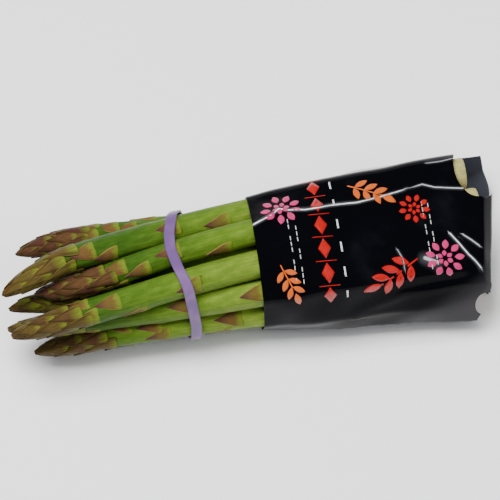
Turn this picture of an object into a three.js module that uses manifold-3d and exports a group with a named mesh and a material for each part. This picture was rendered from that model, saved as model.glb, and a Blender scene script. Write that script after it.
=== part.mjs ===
// A bundle of green asparagus, lying down: spears tied by a rubber band behind their heads, with the
// cut ends in a film sleeve that narrows a little past them.
// Millimetres, +Z up. +X runs along the bundle from the heads to the cut ends.

import * as THREE from 'three';
import { mergeVertices } from 'three/addons/utils/BufferGeometryUtils.js';
import Module from 'manifold-3d';

const wasm = await Module();
wasm.setup();

// ---- Driving dimensions ----

// Spear
const NECK_RADIUS = 6.1; // just below the head
const BUTT_RADIUS = 7.1; // at the cut end
const HEAD_LENGTH = 37;
const BUTT_BEVEL = 0.7;
const SPEAR_SIDES = 9;
const STEM_RINGS = 7;
const GOLDEN_ANGLE = THREE.MathUtils.degToRad(137.5);

// Scales on the head, and bracts on the stem
const HEAD_SCALES = 14;
const HEAD_CORE = 0.86; // the head under its scales, over the head's outline
const SCALE_LIFT = 0.9; // how far the tip of a scale stands off
const SCALE_HALF_ANGLE = 0.85; // radians round the head, from its middle to its side
const SCALE_LENGTHS = [6, 12.5]; // at the tip and at the foot of the head
const SCALE_ROOTS = [0.2, 1.04]; // where the first and the last one grow, over the head's length
const BRACT_LENGTH = 13;
const BRACT_LIFT = 0.65;
const BRACT_HALF_ANGLE = 0.72;
const BRACT_GAPS = [9, 15, 18, 21, 25]; // from each bract to the next, down a hidden stem
const BRACT_PRESSED = 0.2; // the lift of a bract that the band presses down
const BRACT_CLEAR_OF_BAND = 3.5;

// A scale or a bract, over its own length, half angle or lift
const BLADE_WAIST = 0.45; // where it is widest, from its root
const BLADE_ROOT_WIDTH = 0.8;
const BLADE_WAIST_WIDTH = 0.85;
const BLADE_SIDE_LIFT = 0.25;
const BLADE_RIDGE_LIFT = 1.05;
const BLADE_BACK = { along: 0.3, depth: 0.45 }; // its back is a point inside the stem
const BLADE_SUNK = 0.45; // its root, below the surface

// How the spears lie, along X and across the bundle
const TIE_X = -29.5; // where the band holds the bundle
const HEAD_X = -112;
const MOUTH_X = 6.5; // where the sleeve begins
const ROW_X = 112; // where the cut ends lie in rows
const TIE_MIDDLE = [2.5, 31.7]; // the middle [y, z] of the bundle at the band
const SPEAR_GAP = 0.8; // between stems, which leaves room for their bracts
const STATIONS = 23;
const SETTLE_PASSES = 420;
const SMOOTH_PASSES = 300;
const SMOOTH_EVERY = 8;
const TIE_RADIUS = 31.8; // of the whole bundle there
const TIE_SPREAD = 0.1; // how much wider the bundle may be for each millimetre from the band

// Rubber band
const BAND_WIDTH = 5.4;
const BAND_THICKNESS = 1.2;
const BAND_LEAN = -0.2; // it leans towards the heads as it goes up
const BAND_STEPS = 56;
const BAND_GAP = 0.7;

// Film sleeve
const FILM_THICKNESS = 0.8;
const FILM_GAP = 1.8; // over the stems, clear of their bracts
const FILM_STEPS = 40;
const FILM_NARROWS_X = 121.5; // from here to its end
const FILM_END_X = 126.5;
const FILM_BODY_RINGS = 8; // up to there, and past it
const FILM_END_RINGS = 2;
const FILM_MIDDLE = { y: 4, mouthZ: 31, endZ: 20 };
const FILM_PROPORTION = [40, 24]; // the film's corners are spread as round an oval of this shape
const FILM_END_SLANT = 0.18; // the end is cut aslant, and is longer on the far side
const FILM_SLANTS_X = 104; // from here on the film is drawn out to that slant
const FILM_END_CORNER = { y: 36, round: 0.03 }; // its far corner is rounded from this y
// The film was folded flat when it was made, so it has a crease on either side: each crease's y at the
// mouth and where it is fully open, the X where it is, and its height.
const CREASE_NEAR = { mouth: -26, open: -35.5, openX: 112, z: 14 };
const CREASE_FAR = { mouth: 37, open: 48.5, openX: 66, z: 27 };
const CREASE_RADIUS = 0.6;
const END_HEIGHT = 0.75; // what is left of the film's height at its end
// The cuts at its end. Those of the far corner go through the upper layer only. Those of the near
// corner lean with the side of the bundle, by a number of degrees, and y is where they meet the surface.
const THUMB_CUT = { x: 122, y: 29.5, radius: 10.7, stretch: 1.54, lean: 0, bottom: 25.5 };
const FAR_CORNER_CUT = { x: 125, y: 43, radius: 13, stretch: 1, lean: 0, bottom: 25.5 };
const NEAR_NOTCH = { x: 118, y: -20.8, radius: 5.8, stretch: 1, lean: 28.3, bottom: -15 };
const NEAR_CORNER_CUT = { x: 121.9, y: -34.6, radius: 10, stretch: 1, lean: 28.3, bottom: -15 };
const CUT_TOP = 80;
const CUT_SIDES = 32;

// Each spear: where its tip is along X, its thickness, its turn, how far [y, z] its head nods to the
// tip, and its place [y, z] at the head, at the tie, at the sleeve's mouth and in the rows of cut ends.
const SPEARS = [
  { tip: -111, size: 1.0, turn: 0.4, nod: [-2, -5], at: [[21, 50], [28, 32], [28, 28], [35, 21]] },
  { tip: -121, size: 1.08, turn: 2.6, nod: [-1, -1], at: [[-8, 56], [24, 47], [27, 41], [30, 34]] },
  { tip: -119, size: 1.08, turn: 1.2, nod: [0, -1], at: [[-25, 42], [-15, 50], [-7, 55], [2, 36]] },
  { tip: -120, size: 1.0, turn: 5.0, nod: [0, -2], at: [[-13, 31], [-19, 38], [-16, 44], [-12, 35]] },
  { tip: -108, size: 1.02, turn: 3.3, nod: [-4, -3], at: [[-17, 23], [-21, 24], [-22, 28], [-23, 22]] },
  { tip: -104, size: 1.02, turn: 4.1, nod: [1, -1], at: [[-4, 41], [2, 57], [14, 57], [18, 36]] },
  { tip: -118, size: 0.96, turn: 0.9, nod: [0, -1], at: [[-6, 35], [-6, 33], [-6, 35], [-9, 21]] },
  { tip: -104, size: 0.98, turn: 2.0, nod: [1, -1], at: [[18, 30], [10, 30], [12, 30], [21, 21]] },
  { tip: -93, size: 0.98, turn: 5.6, nod: [2, 1], at: [[17, 20], [21, 16], [24, 14], [41, 9]] },
  { tip: -99, size: 1.0, turn: 3.8, nod: [1, -1], at: [[9, 11], [10, 8], [14, 9], [27, 9]] },
  { tip: -101, size: 0.96, turn: 1.7, nod: [0, 2], at: [[-4, 11], [-4, 8], [1, 9], [12, 9]] },
  { tip: -98, size: 1.0, turn: 0.1, nod: [-2, -1], at: [[-14, 14], [-16, 13], [-14, 12], [-16, 9]] },
  { tip: -98, size: 0.98, turn: 4.6, nod: [0, 1], at: [[6, 34], [2, 41], [2, 42], [6, 21]] },
  { tip: -104, size: 0.97, turn: 2.9, nod: [1, -1], at: [[0, 25], [-2, 22], [-1, 20], [-2, 9]] },
];
const PLACES_X = [HEAD_X, TIE_X, MOUTH_X, ROW_X];
const BUTTS_X = [118, 117, 118, 116, 112, 121, 115, 119, 118, 116, 115, 112, 117, 116]; // the cut ends

// Where the bracts of the outer spears grow, in the order of the spears: how far the root is from the
// tip, and its degrees round the stem from the top towards +Y. The others follow a rule.
const OUTER_BRACTS = [
  [[36, 0], [41, -20], [43, 45], [52, 20], [61, -10], [72, 60], [86, 160]],
  [[47, -20], [58, -65], [76, 110], [91, -10], [117, -45]],
  [[34, -35], [40, 30], [43, -55], [55, -15], [67, -115], [77, 130], [95, -50]],
  [[45, -120], [66, 10], [78, -150], [92, -25], [128, -25]],
  [[32, -15], [49, 10], [64, -10], [68, -65], [84, 150], [98, -115], [104, -35]],
  [[37, -40], [46, -5], [45, -115], [57, -55], [73, -15], [98, -80]],
];

const FLAT_SPOT = 0.8; // what comes this near the surface lies flat on it

// ---- Finishes ----

const FINISHES = {
  asparagus: { color: 0x7f9a3e, roughness: 0.5, metalness: 0 },
  rubber: { color: 0x9682b4, roughness: 0.45, metalness: 0 },
  film: { color: 0x0b0c10, roughness: 0.14, metalness: 0 },
};

function finish(name) {
  return new THREE.MeshStandardMaterial(FINISHES[name]);
}

// ---- Solids ----

// The booleans take a closed mesh whose corners are shared, with nothing but positions.
function toSolid(geometry) {
  const bare = geometry.clone();
  bare.deleteAttribute('normal');
  bare.deleteAttribute('uv');
  const merged = mergeVertices(bare, 1e-5);
  return new wasm.Manifold(new wasm.Mesh({
    numProp: 3,
    vertProperties: new Float32Array(merged.attributes.position.array),
    triVerts: new Uint32Array(merged.index.array),
  }));
}

function toGeometry(solid) {
  const mesh = solid.getMesh();
  const geometry = new THREE.BufferGeometry();
  geometry.setAttribute('position', new THREE.BufferAttribute(mesh.vertProperties, 3));
  geometry.setIndex(new THREE.BufferAttribute(mesh.triVerts, 1));
  return geometry;
}

function solidOf(corners, triangles) {
  const geometry = new THREE.BufferGeometry().setFromPoints(corners);
  geometry.setIndex(triangles);
  return geometry;
}

// A tube of rings, each with as many corners as the next, closed on itself: the wall runs from the
// first ring to the last and back to the first.
function ringWall(rings) {
  const steps = rings[0].length;
  const triangles = [];
  for (let i = 0; i < rings.length; i += 1) {
    const next = (i + 1) % rings.length;
    for (let j = 0; j < steps; j += 1) {
      const k = (j + 1) % steps;
      const [a, b] = [i * steps + j, i * steps + k];
      const [c, d] = [next * steps + k, next * steps + j];
      triangles.push(a, b, c, a, c, d);
    }
  }
  return solidOf(rings.flat(), triangles);
}

// ---- The shape of a spear ----

// The outline of the head from its tip to its neck, as [length, radius] over the head's own.
const HEAD_OUTLINE = [[0, 0.12], [0.05, 0.36], [0.14, 0.6], [0.26, 0.82], [0.45, 1.0], [0.7, 1.06], [1, 1]];

function headRadius(part) {
  const after = Math.max(1, HEAD_OUTLINE.findIndex(([length]) => length >= part));
  const [l0, r0] = HEAD_OUTLINE[after - 1];
  const [l1, r1] = HEAD_OUTLINE[after];
  return THREE.MathUtils.mapLinear(part, l0, l1, r0, r1);
}

// The radius of a spear at a distance from its tip. It is 0 off the spear.
function spearRadius(index, along) {
  const spear = SPEARS[index];
  const length = BUTTS_X[index] - spear.tip;
  if (along < 0 || along > length) {
    return 0;
  }
  if (along < HEAD_LENGTH) {
    return spear.size * NECK_RADIUS * headRadius(along / HEAD_LENGTH);
  }
  const down = (along - HEAD_LENGTH) / (length - HEAD_LENGTH);
  return spear.size * THREE.MathUtils.lerp(NECK_RADIUS, BUTT_RADIUS, down);
}

// Past its cut end a spear keeps its place, so that the cut ends stay in their rows.
function reachAt(index, x) {
  return spearRadius(index, Math.min(x, BUTTS_X[index]) - SPEARS[index].tip);
}

// ---- Where the spears lie ----

const FIRST_X = Math.min(...SPEARS.map(({ tip }) => tip)) - 3;
const LAST_BUTT_X = Math.max(...BUTTS_X);
const STATION_STEP = (LAST_BUTT_X + 3 - FIRST_X) / (STATIONS - 1);

function stationX(station) {
  return FIRST_X + STATION_STEP * station;
}

// A spear's place at X by straight lines between its four named places.
function roughPlace({ at }, x) {
  const last = PLACES_X.length - 1;
  const found = PLACES_X.findIndex((placeX) => placeX >= x);
  if (found <= 0) {
    return found === 0 ? [...at[0]] : [...at[last]];
  }
  const along = (x - PLACES_X[found - 1]) / (PLACES_X[found] - PLACES_X[found - 1]);
  return [0, 1].map((k) => THREE.MathUtils.lerp(at[found - 1][k], at[found][k], along));
}

// The room under the lowest stem, for the sleeve or for the band.
function floorGap(x) {
  return x > MOUTH_X - STATION_STEP ? FILM_GAP + FILM_THICKNESS : BAND_GAP + BAND_THICKNESS;
}

// Spears that would cross at a station are pushed apart, and none goes below the surface.
function pushApart(places, radii, x) {
  for (let i = 0; i < places.length; i += 1) {
    for (let j = i + 1; j < places.length; j += 1) {
      if (radii[i] > 0 && radii[j] > 0) {
        const [dy, dz] = [places[j][0] - places[i][0], places[j][1] - places[i][1]];
        const apart = Math.hypot(dy, dz);
        const short = radii[i] + radii[j] + SPEAR_GAP - apart;
        if (short > 0) {
          const push = (0.5 * short) / apart;
          places[i] = [places[i][0] - push * dy, places[i][1] - push * dz];
          places[j] = [places[j][0] + push * dy, places[j][1] + push * dz];
        }
      }
    }
  }
  places.forEach((place, i) => {
    place[1] = Math.max(place[1], radii[i] + floorGap(x));
  });
}

// The band holds the spears within a circle, which widens away from it.
function holdTogether(places, radii, x) {
  const reach = TIE_RADIUS + TIE_SPREAD * Math.abs(x - TIE_X);
  places.forEach((place, i) => {
    const [dy, dz] = [place[0] - TIE_MIDDLE[0], place[1] - TIE_MIDDLE[1]];
    const outside = Math.hypot(dy, dz) / (reach - radii[i]);
    if (radii[i] > 0 && outside > 1) {
      place[0] = TIE_MIDDLE[0] + dy / outside;
      place[1] = TIE_MIDDLE[1] + dz / outside;
    }
  });
}

// Each spear is drawn straight between its neighbouring stations, as a stiff stem is.
function straighten(stations) {
  const before = stations.map((places) => places.map((place) => [...place]));
  for (let s = 1; s < stations.length - 1; s += 1) {
    stations[s].forEach((place, i) => {
      for (const k of [0, 1]) {
        place[k] = 0.5 * before[s][i][k] + 0.25 * (before[s - 1][i][k] + before[s + 1][i][k]);
      }
    });
  }
}

function settle() {
  const xs = Array.from({ length: STATIONS }, (_, s) => stationX(s));
  const stations = xs.map((x) => SPEARS.map((spear) => roughPlace(spear, x)));
  // A spear keeps its reach a little past its tip, so that no head is crowded.
  const radii = xs.map((x) => SPEARS.map((_, i) => Math.max(
    ...[-0.5, 0, 0.5].map((half) => reachAt(i, x + half * STATION_STEP)),
  )));
  for (let pass = 0; pass < SETTLE_PASSES; pass += 1) {
    if (pass < SMOOTH_PASSES && pass % SMOOTH_EVERY === 0) {
      straighten(stations);
    }
    if (pass < SMOOTH_PASSES) {
      stations.forEach((places, s) => holdTogether(places, radii[s], xs[s]));
    }
    stations.forEach((places, s) => pushApart(places, radii[s], xs[s]));
  }
  return stations;
}

const SETTLED = settle();

// How far the head bends away at X: nothing at its neck, and all of its nod at its tip.
function nodAt({ tip, nod }, x) {
  const bent = THREE.MathUtils.clamp(1 - (x - tip) / HEAD_LENGTH, 0, 1) ** 2;
  return nod.map((reach) => reach * bent);
}

// The middle of a spear at X, on a smooth line through its settled stations.
function centreAt(index, x) {
  const nod = nodAt(SPEARS[index], x);
  const along = THREE.MathUtils.clamp((x - FIRST_X) / STATION_STEP, 0, STATIONS - 1.001);
  const s = Math.floor(along);
  const t = along - s;
  const near = [s - 1, s, s + 1, s + 2].map((k) => {
    const station = THREE.MathUtils.clamp(k, 0, STATIONS - 1);
    return SETTLED[station][index];
  });
  return [0, 1].map((k) => {
    const [p0, p1, p2, p3] = near.map((place) => place[k]);
    const slope1 = 0.5 * (p2 - p0);
    const slope2 = 0.5 * (p3 - p1);
    const bend = 2 * (p1 - p2) + slope1 + slope2;
    return nod[k] + p1 + t * (slope1 + t * (p2 - p1 - slope1 - bend + t * bend));
  });
}

class SpearAxis extends THREE.Curve {
  constructor(index) {
    super();
    this.index = index;
    this.tip = SPEARS[index].tip;
    this.length = BUTTS_X[index] - this.tip;
  }

  getPoint(t, target = new THREE.Vector3()) {
    const x = this.tip + t * this.length;
    return target.set(x, ...centreAt(this.index, x));
  }
}

// ---- Building a spear, first straight along Y from its tip, then bent onto its axis ----

// A point on the straight spear, by its distance from the tip, its angle and its radius.
function onSpear(along, angle, radius) {
  return new THREE.Vector3(radius * Math.cos(angle), along, radius * Math.sin(angle));
}

function stemAndCore(index) {
  const length = BUTTS_X[index] - SPEARS[index].tip;
  const profile = [new THREE.Vector2(0, 0)];
  for (const [part] of HEAD_OUTLINE.slice(1, -1)) {
    const along = part * HEAD_LENGTH;
    profile.push(new THREE.Vector2(HEAD_CORE * spearRadius(index, along), along));
  }
  for (let ring = 0; ring <= STEM_RINGS; ring += 1) {
    const along = THREE.MathUtils.lerp(HEAD_LENGTH, length - BUTT_BEVEL, ring / STEM_RINGS);
    profile.push(new THREE.Vector2(spearRadius(index, along), along));
  }
  profile.push(new THREE.Vector2(spearRadius(index, length) - BUTT_BEVEL, length));
  profile.push(new THREE.Vector2(0, length));
  return new THREE.LatheGeometry(profile, SPEAR_SIDES);
}

// A pointed blade that lies on the spear, with its root and its back sunk in it. The rim runs from one
// side of the root round the point to the other, and the blade is thickest along its middle.
function blade(index, { root, angle, length, halfAngle, lift, core }) {
  const surface = (along) => core * spearRadius(index, Math.max(along, 0.5));
  const waist = root - BLADE_WAIST * length;
  const point = root - length;
  const back = root - BLADE_BACK.along * length;
  const [rootSide, waistSide] = [BLADE_ROOT_WIDTH * halfAngle, BLADE_WAIST_WIDTH * halfAngle];
  const corners = [
    onSpear(root, angle - rootSide, surface(root) - BLADE_SUNK),
    onSpear(root, angle + rootSide, surface(root) - BLADE_SUNK),
    onSpear(waist, angle + waistSide, surface(waist) + BLADE_SIDE_LIFT * lift),
    onSpear(point, angle, surface(point) + lift),
    onSpear(waist, angle - waistSide, surface(waist) + BLADE_SIDE_LIFT * lift),
    onSpear(waist, angle, surface(waist) + BLADE_RIDGE_LIFT * lift),
    onSpear(back, angle, BLADE_BACK.depth * surface(root)),
  ];
  const rim = [0, 1, 2, 3, 4];
  const [ridge, inside] = [5, 6];
  const triangles = rim.flatMap((corner, k) => {
    const next = rim[(k + 1) % rim.length];
    return [corner, next, ridge, next, corner, inside];
  });
  return solidOf(corners, triangles);
}

function headScales(index) {
  const { size, turn } = SPEARS[index];
  return Array.from({ length: HEAD_SCALES }, (_, k) => {
    const down = 1 - k / HEAD_SCALES;
    return blade(index, {
      root: HEAD_LENGTH * THREE.MathUtils.lerp(...SCALE_ROOTS, down),
      angle: turn + k * GOLDEN_ANGLE,
      length: size * THREE.MathUtils.lerp(...SCALE_LENGTHS, down),
      halfAngle: SCALE_HALF_ANGLE,
      lift: SCALE_LIFT * THREE.MathUtils.lerp(0.75, 1, down),
      core: HEAD_CORE,
    });
  });
}

// The bracts of a spear, as [from the tip, radians round the straight spear].
function bractRoots(index) {
  if (index < OUTER_BRACTS.length) {
    return OUTER_BRACTS[index].map(([root, around]) => [root, THREE.MathUtils.degToRad(around - 90)]);
  }
  let root = HEAD_LENGTH;
  return BRACT_GAPS.map((gap, k) => {
    root += gap;
    return [root, SPEARS[index].turn + 1.1 - (k + 1) * GOLDEN_ANGLE];
  });
}

function underBand(index, root) {
  const [, z] = centreAt(index, TIE_X);
  const band = TIE_X + BAND_LEAN * (z - TIE_MIDDLE[1]);
  const reach = 0.5 * BAND_WIDTH + BRACT_CLEAR_OF_BAND;
  const x = SPEARS[index].tip + root;
  return x > band - reach && x - BRACT_LENGTH < band + reach;
}

function stemBracts(index) {
  return bractRoots(index).map(([root, angle]) => blade(index, {
    root,
    angle,
    length: BRACT_LENGTH,
    halfAngle: BRACT_HALF_ANGLE,
    lift: underBand(index, root) ? BRACT_PRESSED : BRACT_LIFT,
    core: 1,
  }));
}

// The straight spear's length follows its axis, and its width stays square to it.
function bendOnto(geometry, axis) {
  const position = geometry.attributes.position;
  const sideways = new THREE.Vector3(0, 1, 0);
  for (let i = 0; i < position.count; i += 1) {
    const [across, along, up] = [position.getX(i), position.getY(i), position.getZ(i)];
    const t = along / axis.length;
    const tangent = axis.getTangent(THREE.MathUtils.clamp(t, 0, 1));
    const side = sideways.clone().addScaledVector(tangent, -sideways.dot(tangent)).normalize();
    const top = new THREE.Vector3().crossVectors(side, tangent);
    const point = axis.getPoint(t).addScaledVector(side, across).addScaledVector(top, up);
    position.setXYZ(i, point.x, point.y, point.z);
  }
  return geometry;
}

function makeSpear(index) {
  const solid = [...headScales(index), ...stemBracts(index)]
    .map(toSolid)
    .reduce((whole, piece) => whole.add(piece), toSolid(stemAndCore(index)));
  const mesh = new THREE.Mesh(bendOnto(toGeometry(solid), new SpearAxis(index)), finish('asparagus'));
  mesh.name = `spear_${String(index + 1).padStart(2, '0')}`;
  return mesh;
}

// ---- What is stretched round the stems ----

// The corners of the tightest closed line round a set of points, in order.
function stretchedRound(points) {
  const sorted = [...points].sort((a, b) => a[0] - b[0] || a[1] - b[1]);
  const turnsIn = (a, b, c) => (b[0] - a[0]) * (c[1] - a[1]) - (b[1] - a[1]) * (c[0] - a[0]) <= 0;
  const half = (list) => {
    const line = [];
    for (const point of list) {
      while (line.length > 1 && turnsIn(line.at(-2), line.at(-1), point)) {
        line.pop();
      }
      line.push(point);
    }
    return line.slice(0, -1);
  };
  return [...half(sorted), ...half(sorted.reverse())];
}

function circlePoints([y, z], radius, steps = 32) {
  return Array.from({ length: steps }, (_, k) => {
    const angle = (k / steps) * 2 * Math.PI;
    return [y + radius * Math.cos(angle), z + radius * Math.sin(angle)];
  });
}

// Where a ray from a middle crosses a closed line round it.
function crossing(outline, [cy, cz], [uy, uz]) {
  let furthest = 0;
  outline.forEach(([y0, z0], k) => {
    const [y1, z1] = outline[(k + 1) % outline.length];
    const [ey, ez] = [y1 - y0, z1 - z0];
    const cross = uy * ez - uz * ey;
    if (Math.abs(cross) > 1e-9) {
      const reach = ((y0 - cy) * ez - (z0 - cz) * ey) / cross;
      const share = ((y0 - cy) * uz - (z0 - cz) * uy) / cross;
      if (reach > 0 && share >= -1e-9 && share <= 1 + 1e-9) {
        furthest = Math.max(furthest, reach);
      }
    }
  });
  return [cy + furthest * uy, cz + furthest * uz];
}

function stemCircles(x, reach) {
  const placeX = Math.min(x, LAST_BUTT_X);
  return SPEARS.flatMap((_, i) => circlePoints(centreAt(i, placeX), reachAt(i, x) + reach));
}

// What is stretched under the stems lies flat on the surface where it comes near it.
function flattened(z, lowest) {
  return z < lowest + FLAT_SPOT ? lowest : z;
}

// ---- The rubber band ----

function makeBand() {
  const [inner, outer] = [BAND_GAP, BAND_GAP + BAND_THICKNESS];
  const loop = (reach, side) => Array.from({ length: BAND_STEPS }, (_, k) => {
    const angle = (k / BAND_STEPS) * 2 * Math.PI;
    const ray = [Math.cos(angle), Math.sin(angle)];
    const leaning = (z) => TIE_X + BAND_LEAN * (z - TIE_MIDDLE[1]) + side * 0.5 * BAND_WIDTH;
    const around = (x) => crossing(stretchedRound(stemCircles(x, reach)), TIE_MIDDLE, ray);
    const [y, z] = around(leaning(around(TIE_X)[1]));
    return new THREE.Vector3(leaning(z), y, flattened(z, outer - reach));
  });
  const rings = [loop(outer, -1), loop(outer, 1), loop(inner, 1), loop(inner, -1)];
  const mesh = new THREE.Mesh(ringWall(rings), finish('rubber'));
  mesh.name = 'rubber_band';
  return mesh;
}

// ---- The film sleeve ----

// From the mouth to the cut ends the film is stretched over the stems and out to its two creases. Past
// them it narrows towards the line between the creases.
function filmOutline(x, reach) {
  const past = THREE.MathUtils.clamp((x - FILM_NARROWS_X) / (FILM_END_X - FILM_NARROWS_X), 0, 1);
  const squash = THREE.MathUtils.lerp(1, END_HEIGHT, past);
  const creases = [CREASE_NEAR, CREASE_FAR].map(({ mouth, open, openX, z }) => {
    const opened = THREE.MathUtils.clamp((x - MOUTH_X) / (openX - MOUTH_X), 0, 1);
    return [THREE.MathUtils.lerp(mouth, open, opened), z];
  });
  const [[nearY, nearZ], [farY, farZ]] = creases;
  const middleZ = (y) => THREE.MathUtils.mapLinear(y, nearY, farY, nearZ, farZ);
  const stems = stemCircles(x, reach).map(([y, z]) => [y, THREE.MathUtils.lerp(middleZ(y), z, squash)]);
  const folds = creases.flatMap((crease) => circlePoints(crease, CREASE_RADIUS + reach - FILM_GAP, 12));
  return stretchedRound([...stems, ...folds]);
}

function filmRing(x, reach) {
  const { y: middleY, mouthZ, endZ } = FILM_MIDDLE;
  const middle = [middleY, THREE.MathUtils.mapLinear(x, MOUTH_X, FILM_END_X, mouthZ, endZ)];
  const outline = filmOutline(x, reach);
  return Array.from({ length: FILM_STEPS }, (_, k) => {
    const angle = (k / FILM_STEPS) * 2 * Math.PI;
    const ray = [FILM_PROPORTION[0] * Math.cos(angle), FILM_PROPORTION[1] * Math.sin(angle)];
    const [y, z] = crossing(outline, middle, ray);
    const corner = FILM_END_CORNER.round * Math.max(0, y - FILM_END_CORNER.y) ** 2;
    const slanted = Math.max(0, (x - FILM_SLANTS_X) / (FILM_END_X - FILM_SLANTS_X));
    const drawnOut = slanted * (FILM_END_SLANT * (y - middleY) - corner);
    return new THREE.Vector3(x + drawnOut, y, flattened(z, FILM_GAP + FILM_THICKNESS - reach));
  });
}

// A round or oval bite out of the film, from above.
function bite({ x, y, radius, stretch, lean, bottom }) {
  const cutter = new THREE.CylinderGeometry(radius, radius, CUT_TOP - bottom, CUT_SIDES);
  cutter.rotateX(Math.PI / 2);
  cutter.scale(1, stretch, 1);
  cutter.translate(0, 0, 0.5 * (bottom + CUT_TOP));
  cutter.rotateX(THREE.MathUtils.degToRad(lean));
  cutter.translate(x, y, 0);
  return toSolid(cutter);
}

function evenly(from, to, steps) {
  return Array.from({ length: steps }, (_, k) => from + ((to - from) * k) / steps);
}

function makeSleeve() {
  const body = evenly(MOUTH_X, FILM_NARROWS_X, FILM_BODY_RINGS);
  const xs = [...body, ...evenly(FILM_NARROWS_X, FILM_END_X, FILM_END_RINGS), FILM_END_X];
  const outer = xs.map((x) => filmRing(x, FILM_GAP + FILM_THICKNESS));
  const inner = xs.map((x) => filmRing(x, FILM_GAP)).reverse();
  const tube = toSolid(ringWall([...outer, ...inner]));
  const cut = [THUMB_CUT, FAR_CORNER_CUT, NEAR_NOTCH, NEAR_CORNER_CUT]
    .reduce((whole, round) => whole.subtract(bite(round)), tube);
  const mesh = new THREE.Mesh(toGeometry(cut), finish('film'));
  mesh.name = 'film_sleeve';
  return mesh;
}

// ---- The bundle ----

const bundle = new THREE.Group();
SPEARS.forEach((_, index) => bundle.add(makeSpear(index)));
bundle.add(makeBand());
bundle.add(makeSleeve());

// The origin is under the middle of the bundle, on the surface that it lies on.
const box = new THREE.Box3().setFromObject(bundle, true);
bundle.position.set(-0.5 * (box.min.x + box.max.x), -0.5 * (box.min.y + box.max.y), -box.min.z);

export default bundle;
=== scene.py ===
"""Dresses a bundle of asparagus: spears with bracts and scaled heads, a rubber band, and a printed film
sleeve that stays open past the cut ends.

Lengths in the rules are millimetres in the bundle's own frame: +X runs from the heads to the cut ends
and +Z is up. Meshes are made in metres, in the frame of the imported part.
"""

import logging
import math
import random
from dataclasses import dataclass, field
from enum import Enum
from typing import Callable, Sequence

import bpy
import numpy as np
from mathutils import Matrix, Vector


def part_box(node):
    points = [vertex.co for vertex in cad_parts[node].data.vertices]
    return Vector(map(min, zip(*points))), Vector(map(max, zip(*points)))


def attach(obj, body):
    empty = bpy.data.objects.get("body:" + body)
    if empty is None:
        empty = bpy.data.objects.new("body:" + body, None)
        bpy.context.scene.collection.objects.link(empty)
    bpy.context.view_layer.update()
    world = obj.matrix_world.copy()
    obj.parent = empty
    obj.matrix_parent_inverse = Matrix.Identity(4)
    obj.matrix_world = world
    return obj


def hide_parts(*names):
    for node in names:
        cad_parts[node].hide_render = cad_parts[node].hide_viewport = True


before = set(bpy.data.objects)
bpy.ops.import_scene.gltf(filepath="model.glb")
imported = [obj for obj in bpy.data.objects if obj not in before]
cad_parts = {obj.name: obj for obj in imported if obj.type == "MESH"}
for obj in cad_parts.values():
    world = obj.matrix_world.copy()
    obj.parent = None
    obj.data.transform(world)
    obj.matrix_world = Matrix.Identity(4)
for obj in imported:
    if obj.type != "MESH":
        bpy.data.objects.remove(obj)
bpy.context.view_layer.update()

LOG = logging.getLogger("asparagus_bundle")
MM = 0.001
# The degrees between two leaves that follow each other up a plant.
GOLDEN_ANGLE = 137.5
# The seed of the first spear. Each next one has the next seed.
FIRST_SEED = 40
# How far a stored number may be from the whole number that it stands for.
NUMBER_SLACK = 0.4
# A distance past every other one in the bundle, in millimetres.
FAR_OFF = 1e3
PETAL_CORNERS = 7

Triple = tuple[float, float, float]
Colour = Triple
Place = tuple[float, float]
Socket = bpy.types.NodeSocket


# ---- Helpers ----


def srgb(*parts: int) -> Colour:
    """The linear colour of a screen colour, whose red, green and blue are given from 0 to 255."""
    shares = (part / 255 for part in parts)
    return tuple(share / 12.92 if share <= 0.04045 else ((share + 0.055) / 1.055) ** 2.4 for share in shares)


def opaque(colour: Colour) -> tuple[float, float, float, float]:
    """A colour with full alpha, as sockets take it."""
    return (*colour, 1.0)


def circle(count: int) -> np.ndarray:
    """Points evenly round a circle with a radius of 1, one row each."""
    turn = np.linspace(0, 2 * np.pi, count, endpoint=False)
    return np.stack([np.cos(turn), np.sin(turn)], axis=1)


def smooth_step(low: float, high: float, value: np.ndarray | float) -> np.ndarray | float:
    """Rises from 0 at low to 1 at high, softly at both ends."""
    part = np.clip((value - low) / (high - low), 0.0, 1.0)
    return part * part * (3.0 - 2.0 * part)


def make_mesh(name: str, points: np.ndarray, faces: Sequence[Sequence[int]]) -> bpy.types.Mesh:
    """Makes a mesh from corners and faces.

    Args:
        name: The mesh's name.
        points: The corners, one row each.
        faces: The corners of each face, in order.

    Returns:
        The mesh.
    """
    mesh = bpy.data.meshes.new(name)
    mesh.from_pydata([tuple(map(float, point)) for point in points], [], [tuple(face) for face in faces])
    mesh.update()
    return mesh


def put_attributes(mesh: bpy.types.Mesh, **layers: Sequence) -> None:
    """Stores values at each corner of a mesh.

    Args:
        mesh: The mesh that takes the values.
        **layers: The numbers, or the vectors of three, by the attribute's name.
    """
    for name, rows in layers.items():
        values = np.asarray(rows, dtype=np.float32)
        kind, key = ("FLOAT", "value") if values.ndim == 1 else ("FLOAT_VECTOR", "vector")
        mesh.attributes.new(name, kind, "POINT").data.foreach_set(key, values.ravel())


def add_object(name: str, data: bpy.types.ID) -> bpy.types.Object:
    """Puts data into the scene as an object at the origin.

    Args:
        name: The object's name.
        data: Its mesh, curve, lamp or camera.

    Returns:
        The object.
    """
    thing = bpy.data.objects.new(name, data)
    bpy.context.scene.collection.objects.link(thing)
    return thing


def remove_object(thing: bpy.types.Object) -> None:
    """Takes an object out of the scene for good."""
    bpy.data.objects.remove(thing, do_unlink=True)


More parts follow.
